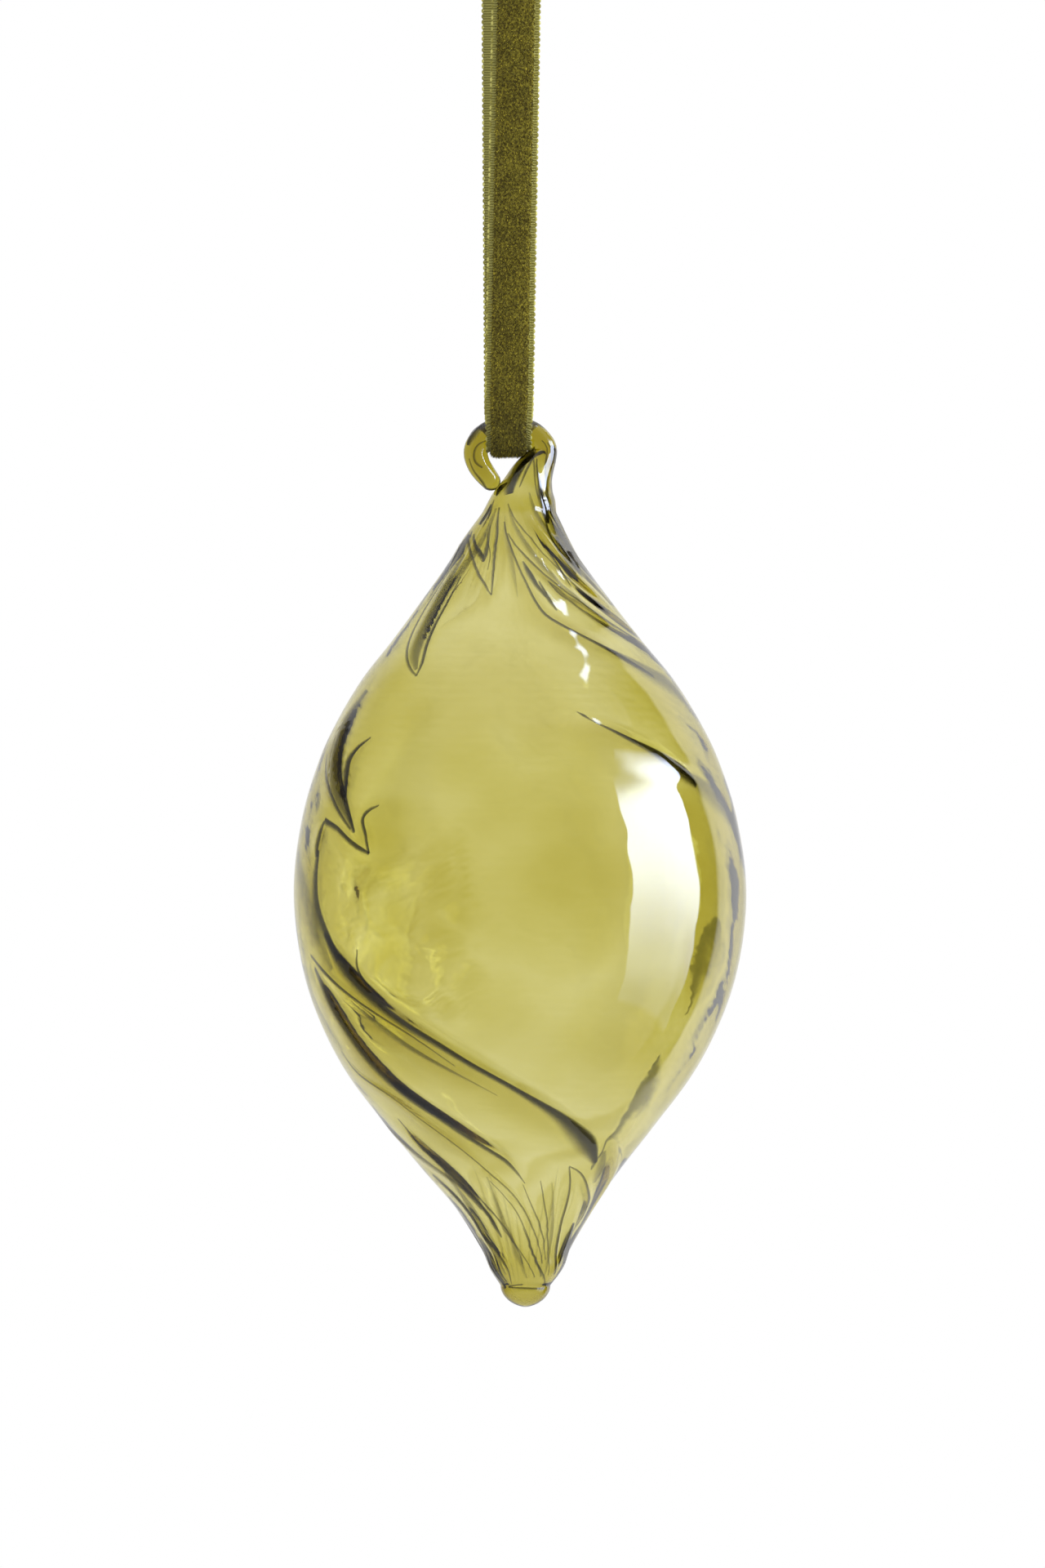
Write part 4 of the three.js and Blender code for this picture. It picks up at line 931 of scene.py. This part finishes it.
def surface_points(rows, columns):
    """Points, ways out, and the height, angle and radius that the folds are laid by."""
    x, z, radius, height, ax, az = rows.T
    turn = np.radians(twist(np.minimum(height, TWIST_END)))
    angle = np.linspace(0, 2 * math.pi, columns, endpoint=False)[None, :] + turn[:, None]
    across = np.cos(angle)
    out = np.stack([across * ax[:, None], np.sin(angle), across * az[:, None]], -1)
    centre = np.stack([x + AXIS_X, np.zeros_like(x), z + TIP_Z], -1)[:, None, :]
    points = centre + out * radius[:, None, None]
    grow = np.ones_like(angle)
    return points.reshape(-1, 3), out.reshape(-1, 3), {
        "height": (height[:, None] * grow).ravel(),
        "angle": angle.ravel(),
        "radius": (radius[:, None] * grow).ravel(),
    }


def close_ends(points, rows, columns, first):
    """A fan at each end of a stack of rows, from a point in its middle."""
    faces = []
    for row, turn in ((0, 1), (rows - 1, -1)):
        ring = np.arange(columns) + row * columns
        middle = points[ring].mean(0)
        points = np.vstack([points, middle])
        last = len(points) - 1
        for a, b in zip(ring, np.roll(ring, -1)):
            faces.append([x + first for x in ((last, b, a) if turn > 0 else (last, a, b))])
    return points, faces


def make_glass_blank():
    """The drop, neck and hook without ribs, and the hollow inside them, facing in."""
    all_points, all_faces, out_list, facts = [], [], [], {}
    first = 0
    for rows, columns, inside in ((GLASS_ROWS, OUTER_COLUMNS, False), (inner_rows(), INNER_COLUMNS, True)):
        points, out, values = surface_points(rows, columns)
        faces = grid_faces(len(rows), columns, first).tolist()
        points, fans = close_ends(points, len(rows), columns, first)
        faces += fans
        if inside:
            faces = [face[::-1] for face in faces]
        out = np.vstack([out, np.zeros((2, 3))])
        values["share"] = np.full(len(out) - 2, INNER_SHARE if inside else OUTER_SHARE)
        for name, value in values.items():
            facts.setdefault(name, []).append(np.append(value, [0.0, 0.0]))
        all_points.append(points)
        all_faces += faces
        out_list.append(out)
        first += len(points)
    mesh = bpy.data.meshes.new("glass_drop")
    mesh.from_pydata((np.vstack(all_points) * MM).tolist(), [], all_faces)
    for name, value in facts.items():
        mark(mesh, name, np.concatenate(value))
    mark(mesh, "way_out", np.vstack(out_list), "FLOAT_VECTOR")
    mesh.shade_smooth()
    return link_object("glass_drop", mesh)


NECK_ANGLES, TIP_ANGLES = (22, 52, 88, 118, 150, 178), (176, 140, 106, 74, 2)
BACK_FOLDS = [twisted(angle, at=96, low=90 + k % 3 * 3, high=112, rise=0.45)
              for k, angle in enumerate(NECK_ANGLES)]
BACK_FOLDS += [twisted(angle, at=12, low=4, high=20 + k % 3 * 5, rise=0.5)
               for k, angle in enumerate(TIP_ANGLES)]


def fan(count, root, rim, rise, dark, width, bend):
    """Fine strands that spread from a short line, root, to a longer one, rim. Each line is given as x from,
    x to and height."""
    strands = []
    for k in range(count):
        share = (k + 0.5) / count
        stray = math.sin(7.3 * k)
        start = root[0] + (root[1] - root[0]) * share
        end = rim[0] + (rim[1] - rim[0]) * share
        length = (rim[2] - root[2]) * (0.8 + 0.25 * stray)
        stations = []
        for t in (0, 0.2, 0.5, 0.8, 1):
            half = width * (1.2 + 0.5 * stray) * math.sin(math.pi * (0.03 + 0.95 * t))
            stations.append((start + (end - start) * t ** bend, root[2] + length * t, half))
        strands.append((rise, 0.5, 0.7, dark, stations))
    return strands


FINE_STRANDS = fan(9, (-2, 2, 110.5), (-10, 12, 94), rise=0.3, dark=0, width=0.13, bend=1.2)
# The strands at the tip also get faint strips of painted shade.
FINE_STRANDS += fan(8, (-1.2, 4.2, 4), (-8, 7.5, 20), rise=0.35, dark=0.15, width=0.2, bend=1.1)
MARKED_FOLDS = [laid(fold) for fold in FRONT_FOLDS + FINE_STRANDS + BROAD_SWELLS]
MARKED_FOLDS += [laid(fold, 1) for fold in BACK_MARKS]
FOLDS = [fold for fold in MARKED_FOLDS + BACK_FOLDS if fold[0] != 0]


def evened(stations, count):
    """A fold's stations brought to an even number of levels: height, angle, width."""
    stations = sorted(stations)
    height = np.linspace(stations[0][0], stations[-1][0], count)
    width = through([(s[0], s[2]) for s in stations], height)
    return height, through([s[:2] for s in stations], height), width


def fold_table():
    """A point for each station of each fold, which the geometry tree reads."""
    line, reach = [], []
    for rise, steep, gentle, _, stations in FOLDS:
        height, angle, _ = evened(stations, FOLD_STATIONS)
        fade = min(FOLD_FADE, LONGEST_FADE * (height[-1] - height[0]))
        there = smooth_step(height[0], height[0] + fade, height)
        there *= smooth_step(height[-1], height[-1] - fade, height)
        level = np.clip(height, TIP_HEIGHT, NECK_HEIGHT)
        slope = np.gradient(np.radians(angle), height) * np.maximum(plain_radius(level), NARROWEST)
        lean = np.sqrt(1 + slope ** 2)
        for k in range(FOLD_STATIONS):
            line += [math.radians(angle[k]), rise * there[k], lean[k]]
            reach += [height[0], height[-1], steep]
    mesh = bpy.data.meshes.new("fold_table")
    mesh.from_pydata([(0, 0, k * MM) for k in range(len(FOLDS) * FOLD_STATIONS)], [], [])
    gentle = [fold[2] for fold in FOLDS for _ in range(FOLD_STATIONS)]
    mark(mesh, "line", line, "FLOAT_VECTOR")
    mark(mesh, "reach", reach, "FLOAT_VECTOR")
    mark(mesh, "gentle", gentle)
    return link_object("fold_table", mesh)


def fold_tree():
    """Raises every fold of the table on a surface that has height, angle, radius, share and way_out."""
    floats = ("Room", "Dent Scale", "Dent Angle", "Dent Height", "Dent Depth", "Cloud Depth")
    g, given = geometry_group("folds", {"Folds": "Object", "Count": "Int", "Stations": "Int",
                                        **dict.fromkeys(floats, "Float"), "Glass": "Material"})
    table = g.geo("ObjectInfo", {"Object": given["Folds"]}, "Geometry")
    begin = g.node("GeometryNodeRepeatInput")
    finish = g.node("GeometryNodeRepeatOutput")
    begin.pair_with_output(finish)
    finish.repeat_items.new("FLOAT", "Relief")
    g.join(given["Count"], begin.inputs["Iterations"])
    g.join(given["Geometry"], begin.inputs["Geometry"])

    def sample(name, index, kind="FLOAT_VECTOR"):
        inputs = {"Geometry": table, "Value": g.named(name, kind), "Index": index}
        return g.geo("SampleIndex", inputs, data_type=kind)

    # Each point's place along the fold, and the fold's angle, rise and lean there.
    first = g.times(begin.outputs["Iteration"], given["Stations"])
    low, high, steep = g.split(sample("reach", first))
    gentle = sample("gentle", first, "FLOAT")
    height, radius, share = g.named("height"), g.named("radius"), g.named("share")
    level = g.math("DIVIDE", g.minus(height, low), g.minus(high, low))
    last = g.minus(given["Stations"], 1.001)
    place = g.times(g.math("MULTIPLY", level, 1.0, clamp=True), last)
    below = g.math("FLOOR", place)
    index = g.plus(first, below)
    ends = {"Factor": g.minus(place, below), 4: sample("line", index), 5: sample("line", g.plus(index, 1.0))}
    angle, rise, lean = g.split(g.shade("Mix", ends, 1, data_type="VECTOR"))
    # The fold's profile across, a bell with a steep and a gentle side, less its mean round the glass.
    away = g.math("WRAP", g.minus(g.named("angle"), angle), math.pi, -math.pi)
    room = g.math("MINIMUM", g.math("DIVIDE", radius, given["Room"]), 1.0)
    side = g.mix(g.math("LESS_THAN", away, 0.0), steep, gentle)
    across = g.math("DIVIDE", g.times(away, radius), g.times(side, room, lean))
    bell = g.math("EXPONENT", g.times(across, across, -1.0))
    sides = g.times(g.plus(steep, gentle), g.times(lean, room))
    mean = g.math("DIVIDE", sides, g.times(radius, 4 * math.sqrt(math.pi)))
    amount = g.times(rise, g.math("POWER", room, 0.8))
    relief = g.times(amount, g.minus(bell, mean))
    g.join(g.plus(begin.outputs["Relief"], relief), finish.inputs["Relief"])
    g.join(begin.outputs["Geometry"], finish.inputs["Geometry"])

    # Small dents at one place, and a soft unevenness inside.
    position = g.geo("InputPosition")
    ripple = g.noise(position, given["Dent Scale"], 1.0)
    around = g.ease(g.math("COSINE", g.minus(g.named("angle"), given["Dent Angle"])), *DENTS_AROUND)
    near = g.ease(g.math("ABSOLUTE", g.minus(height, given["Dent Height"])), *DENTS_NEAR)
    dent = g.times(around, near, given["Dent Depth"], g.minus(ripple, 0.5))
    inside = g.math("LESS_THAN", share, 0.0)
    cloud = g.times(g.minus(g.noise(position, CLOUD_SCALE, 3.0), 0.5), given["Cloud Depth"], inside)
    amount = g.times(g.plus(g.times(finish.outputs["Relief"], share), g.plus(dent, cloud)), MM)
    offset = g.scaled(g.named("way_out", "FLOAT_VECTOR"), amount)
    moved = g.geo("SetPosition", {"Geometry": finish.outputs["Geometry"], "Offset": offset})
    return g.dress(g.geo("RealizeInstances", [moved]), given["Glass"])


def make_crease_shade_lines():
    """Each crease as a line of painted shade near the glass, with its half width, how dark it is and its way out."""
    points, edges, half, dark, under, outward = [], [], [], [], [], []
    for line, (_, _, _, shade_darkness, stations) in enumerate(MARKED_FOLDS):
        if not shade_darkness:
            continue
        span = max(s[0] for s in stations) - min(s[0] for s in stations)
        height, angle, width = evened(stations, max(16, int(span * 2)))
        x, z, radius, _, ax, az = rows_at(height).T
        across = np.cos(np.radians(angle))
        out = np.stack([across * ax, np.sin(np.radians(angle)), across * az], 1)
        place = np.stack([x + AXIS_X, 0 * x, z + TIP_Z], 1) + out * radius[:, None]
        first = len(points)
        points += (place * MM).tolist()
        edges += [(first + k, first + k + 1) for k in range(len(height) - 1)]
        half += np.maximum(width, LEAST_CREASE).tolist()
        # A narrow crease's painted shade is a little less dark than a broad one's.
        dark += (shade_darkness * (0.55 + 0.45 * smooth_step(0.12, 0.5, width))).tolist()
        under += [(FIRST_LAYER + LAYER_STEP * (line % LAYERS)) * CREASE_DEPTH * MM] * len(height)
        outward += out.tolist()
    mesh = bpy.data.meshes.new("fold_creases")
    mesh.from_pydata(points, edges, [])
    mark(mesh, "half_width", np.array(half) * MM)
    mark(mesh, "shade_darkness", dark)
    mark(mesh, "under", under)
    mark(mesh, "way_out", outward, "FLOAT_VECTOR")
    return link_object("fold_creases", mesh)


def crease_shade_tree():
    """Lays a thin flat tube of painted shade along each line, just under the skin of the glass."""
    sockets = {"Glass Piece": "Object", "Flatness": "Float", "Crease Shade": "Material"}
    g, given = geometry_group("crease_shade", sockets)
    glass_piece = g.geo("ObjectInfo", {"Object": given["Glass Piece"]}, "Geometry")
    position = g.geo("InputPosition")
    outward = g.named("way_out", "FLOAT_VECTOR")
    start = g.vector("ADD", position, g.scaled(outward, SKIN_SEARCH * MM))
    inputs = {"Target Geometry": glass_piece, "Source Position": start,
              "Ray Direction": g.scaled(outward, -1.0), "Ray Length": 2 * SKIN_SEARCH * MM}
    ray = g.node("GeometryNodeRaycast", inputs).outputs
    normal = ray["Hit Normal"]
    kept = g.stored(given["Geometry"], "skin", normal, "FLOAT_VECTOR")
    under = g.scaled(normal, g.times(g.named("under"), -1.0))
    place = g.vector("ADD", ray["Hit Position"], under)
    moved = g.geo("SetPosition", {"Geometry": kept, "Selection": ray["Is Hit"], "Position": place})
    curve = g.geo("MeshToCurve", [moved])
    inputs = {"Curve": curve, "Normal": g.named("skin", "FLOAT_VECTOR")}
    facing = g.geo("SetCurveNormal", inputs, mode="FREE")
    sized = g.geo("SetCurveRadius", {"Curve": facing, "Radius": g.named("half_width")})
    ring = g.geo("CurvePrimitiveCircle", {"Resolution": 12, "Radius": 1.0})
    marked = g.stored(ring, "across", g.split(position)[1])
    thin = g.shade("CombineXYZ", [given["Flatness"], 1.0, 1.0])
    flat = g.geo("Transform", {"Geometry": marked, "Scale": thin})
    inputs = {"Curve": sized, "Profile Curve": flat, "Scale": g.named("half_width"), "Fill Caps": True}
    tube = g.geo("CurveToMesh", inputs)
    return g.dress(g.geo("RealizeInstances", [tube]), given["Crease Shade"])


# Materials.

GLASS_TINT, TINT_DENSITY = (0.76, 0.713, 0.067, 1), 1455
# How fine the patterns are, to a metre: the glass's waviness, and the velvet's fuzz, brush marks and weave.
WAVINESS_SCALE, FUZZ_SCALE, BRUSHED_SCALE, WEAVE_SCALE = 90.0, 3500.0, 350.0, 900.0


def new_material(name, values):
    """A material with a principled shader, its constants by name."""
    material = bpy.data.materials.new(name)
    material.use_nodes = True
    g = Graph(material.node_tree)
    g.tree.nodes.clear()
    shader = g.node("ShaderNodeBsdfPrincipled", values)
    output = g.node("ShaderNodeOutputMaterial", {"Surface": shader.outputs[0]})
    return material, g, shader, output


def glass_material():
    values = {"Base Color": (1, 1, 1, 1), "Transmission Weight": 1.0, "Roughness": 0.0, "IOR": 1.5}
    material, g, shader, output = new_material("olive_glass", values)
    tint = g.shade("VolumeAbsorption", {"Color": GLASS_TINT, "Density": TINT_DENSITY})
    g.join(tint, output.inputs["Volume"])
    uneven = g.noise(g.shade("TexCoord", out="Object"), WAVINESS_SCALE, 2.0)
    bump = g.shade("Bump", {"Height": uneven, "Strength": 0.6, "Distance": 0.0003})
    g.join(bump, shader.inputs["Normal"])
    return material


def velvet_material():
    values = {"Sheen Weight": 0.2, "Sheen Roughness": 0.35, "Sheen Tint": (0.8, 0.72, 0.1, 1)}
    material, g, shader, _ = new_material("olive_velvet", values)
    pile, tone, pressed_shade = (g.attribute(name) for name in ("pile", "tone", "pressed_shade"))
    place = g.shade("TexCoord", out="Object")
    fuzz, brushed = g.noise(place, FUZZ_SCALE, 3.0), g.noise(place, BRUSHED_SCALE, 3.0)
    grain = g.plus(g.times(fuzz, 0.85), g.times(brushed, 0.22))
    plush = g.ramp(grain, (0.435, (0.09, 0.067, 0.004, 1)), (0.655, (0.31, 0.262, 0.028, 1)))
    inputs = {"Vector": g.shade("UVMap", uv_map="weave"), "Scale": WEAVE_SCALE, "Distortion": 1.5}
    weave = g.shade("TexWave", inputs, "Fac", wave_type="BANDS", bands_direction="Y")
    satin = g.ramp(weave, (0, (0.26, 0.23, 0.03, 1)), (1, (0.6, 0.56, 0.15, 1)))
    mixed = g.shade("Mix", {"Factor": pile, 6: satin, 7: plush}, 2, data_type="RGBA")
    # Painted shade: up to 30 % darker where the ribbon is bunched, drawn in under the rod and knotted, with its pile
    # crushed.
    shadow = g.minus(1.0, g.times(pressed_shade, 0.3))
    g.join(g.scaled(mixed, g.times(g.plus(tone, 0.45), shadow)), shader.inputs["Base Color"])
    g.join(g.plus(g.times(pile, 0.45), 0.5), shader.inputs["Roughness"])
    bump = g.shade("Bump", {"Height": g.mix(pile, weave, fuzz), "Strength": 0.8, "Distance": 0.0002})
    g.join(bump, shader.inputs["Normal"])
    return material


def crease_shade_material():
    # Painted shade for the crease lines: brown on one side to near black on the other, faded out at both edges.
    material, g, shader, _ = new_material("glass_crease_shade", {"Roughness": 0.6, "Specular IOR Level": 0.0})
    across, dark = g.attribute("across"), g.attribute("shade_darkness")
    place = g.times(g.plus(across, 1.0), 0.5)
    tone = g.ramp(place, (0.2, (0.14, 0.1, 0.015, 1)), (0.6, (0.02, 0.017, 0.011, 1)))
    g.join(tone, shader.inputs["Base Color"])
    edge = g.band(across, -1.0, 0.3, 0.6, 1.0)
    g.join(g.math("MULTIPLY", g.times(edge, dark), 0.8, clamp=True), shader.inputs["Alpha"])
    return material


glass = glass_material()
velvet = velvet_material()

folds = fold_table()
drop = make_glass_blank()
apply_tree(drop, fold_tree(), {
    "Folds": folds, "Count": len(FOLDS), "Stations": FOLD_STATIONS, "Room": FOLD_ROOM, "Glass": glass,
    "Cloud Depth": CLOUD_DEPTH, **DENTS,
})
bpy.data.objects.remove(folds)
drop.data.shade_smooth()
crease_shade = make_crease_shade_lines()
apply_tree(crease_shade, crease_shade_tree(), {
    "Flatness": CREASE_FLATNESS, "Crease Shade": crease_shade_material(), "Glass Piece": drop,
})
crease_shade.data.shade_smooth()

pile = pile_tree()
for piece in (ribbon, knot, *tails):
    apply_tree(piece, pile, {
        "Fibres": FIBRES_PER_MM2 / MM**2, "Length": FIBRE_LENGTH * MM, "Thickness": FIBRE_RADIUS * MM,
        "Brushed": FIBRE_BRUSHED, "Loop Pitch": LOOP_PITCH * MM, "Loop Radius": LOOP_RADIUS * MM,
        "Velvet": velvet,
    })

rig.ride(drop, "glass_drop")
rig.replaces(drop, "glass_bubble", "hanging_hook", "tip_bead")
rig.slot(drop, "glass")
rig.ride(crease_shade, "glass_drop")
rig.slot(crease_shade, "glass")
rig.blend(ribbon, "hanger_ribbon", "ribbon_eye", start=(0, 0, 0), end=(0, 0, (ROD_LEVEL + 5) * MM))
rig.replaces(ribbon, "ribbon_front_strand", "ribbon_back_strand", "ribbon_bight")
for piece, node in zip((knot, *tails), ("ribbon_knot", "ribbon_front_tail", "ribbon_back_tail")):
    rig.ride(piece, "hanger_ribbon")
    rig.replaces(piece, node)
for piece in (ribbon, knot, *tails):
    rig.slot(piece, "velvet")
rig.cord(ribbon, exit=ribbon_path[0], length=ribbon_length, diameter=CORD_WIDTH * MM, far_end="knot",
        stiffness="limp", lay="taut", path=ribbon_path, with_pieces=[knot, *tails])


# Floor, world and lights.

FLOOR_RADIUS, FLOOR_LEVEL, FLOOR_FADE = 0.3, -0.31, (0.1, 0.29)
# Angles in radians across and up between which the window and a small light high above it rise and fade.
WINDOW_ACROSS, WINDOW_UP = (1.02, 1.04, 1.77, 1.8), (-0.6, -0.55, 0.4, 0.6)
UPPER_ACROSS, UPPER_UP, UPPER_STRENGTH = (1.3, 1.4, 1.6, 1.75), (1.0, 1.03, 1.05, 1.08), 12.0
LEFT_FLAG_FROM, LEFT_FLAG_TO = (-0.9, -1.3), (-2.5, -2.2)


def make_floor():
    """A pale disc under the ornament that fades out towards its rim."""
    mesh = bpy.data.meshes.new("floor")
    around = np.linspace(0, 2 * math.pi, 64, endpoint=False)
    ring = [(FLOOR_RADIUS * math.cos(a), FLOOR_RADIUS * math.sin(a), FLOOR_LEVEL) for a in around]
    mesh.from_pydata(ring, [], [list(range(len(ring)))])
    values = {"Base Color": (0.97, 0.965, 0.96, 1), "Roughness": 0.9}
    material, g, shader, _ = new_material("pale_floor", values)
    flat = g.vector("MULTIPLY", g.shade("TexCoord", out="Object"), (1, 1, 0))
    out = g.shade("VectorMath", [flat], "Value", operation="LENGTH")
    g.join(g.ease(out, *FLOOR_FADE, 1.0, 0.0), shader.inputs["Alpha"])
    mesh.materials.append(material)
    return link_object("floor", mesh)


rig.stage(make_floor())


def make_world():
    """White to the camera. The glass mirrors a bright room with a window light at the right and dark gaps."""
    world = bpy.data.worlds.new("studio")
    bpy.context.scene.world = world
    world.use_nodes = True
    g = Graph(world.node_tree)
    g.tree.nodes.clear()
    x, y, z = g.split(g.shade("TexCoord", out="Generated"))
    azimuth = g.math("ARCTAN2", x, g.times(y, -1.0))
    rise = g.math("ARCSINE", z)
    turned = g.math("ABSOLUTE", azimuth)
    room = g.ease(g.math("ABSOLUTE", z), 0.6, 0.85, 1.0, 0.04)
    glow = g.ease(rise, -0.55, 0.35, 1.0, 15.0)
    window = g.times(g.band(azimuth, *WINDOW_ACROSS), g.band(rise, *WINDOW_UP), glow)
    upper = g.times(g.band(rise, *UPPER_UP), g.band(azimuth, *UPPER_ACROSS), UPPER_STRENGTH)
    softbox = g.plus(window, upper)
    path = g.node("ShaderNodeLightPath").outputs

    # What the glass mirrors: walls with dark flags and a dark gap beside the window, and a ceiling.
    left_flag = g.times(g.ease(azimuth, *LEFT_FLAG_FROM), g.ease(azimuth, *LEFT_FLAG_TO))
    flags = g.minus(1.0, g.times(left_flag, 0.5))
    gap = g.math("MAXIMUM", g.ease(azimuth, 1.6, 1.66, 1.0, 0.0), g.ease(azimuth, 2.08, 2.16, 0.0, 2.1))
    flags = g.times(flags, g.times(gap, g.ease(azimuth, 2.3, 2.8, 1.0, 0.5)))
    walls = g.times(room, flags, g.ease(turned, 0.6, 1.1, 0.4, 0.85))
    ceiling = g.ease(z, 0.6, 0.95, 0.0, 1.6)
    mirrored = g.plus(g.plus(walls, ceiling), softbox)

    # What is seen through the glass.
    bounced = g.times(softbox, g.math("GREATER_THAN", path["Glossy Depth"], 0.5))
    sides = g.math("MAXIMUM", g.ease(turned, 1.45, 1.55, 0.1, 1.0), g.ease(turned, 0.9, 1.1, 0.6, 0.0))
    seen_through = g.plus(g.times(room, sides), g.times(bounced, 0.35))

    glossy = g.mix(path["Is Glossy Ray"], 0.8, mirrored)
    bent = g.mix(path["Is Transmission Ray"], glossy, seen_through)
    light = g.mix(path["Is Camera Ray"], bent, 1.0)
    cool = g.math("MULTIPLY", softbox, g.minus(1.0, path["Is Camera Ray"]), clamp=True)
    tint = g.shade("Mix", {"Factor": cool, 6: (1, 1, 1, 1), 7: (0.82, 0.93, 1.25, 1)}, 2, data_type="RGBA")
    background = g.shade("Background", {"Color": tint, "Strength": light})
    g.node("ShaderNodeOutputWorld", {"Surface": background})


make_world()


def area_light(name, place, target, size, energy):
    data = bpy.data.lights.new(name, "AREA")
    data.shape = "RECTANGLE"
    data.size, data.size_y = size
    data.energy = energy
    lamp = bpy.data.objects.new(name, data)
    bpy.context.scene.collection.objects.link(lamp)
    lamp.location = place
    lamp.rotation_euler = (Vector(target) - Vector(place)).to_track_quat("-Z", "Y").to_euler()
    lamp.visible_glossy = lamp.visible_transmission = False


area_light("key", place=(0.9, -0.5, 0.2), target=(0, 0, -0.06), size=(0.5, 0.8), energy=6)

bpy.context.scene.view_settings.view_transform = "Standard"
bpy.context.scene.cycles.transmission_bounces = 24
bpy.context.scene.cycles.max_bounces = 32
bpy.context.scene.cycles.transparent_max_bounces = 16

json.dump({"cad": box_of(cad_box), "visual": box_of(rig.bounds())}, open("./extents.json", "w"))
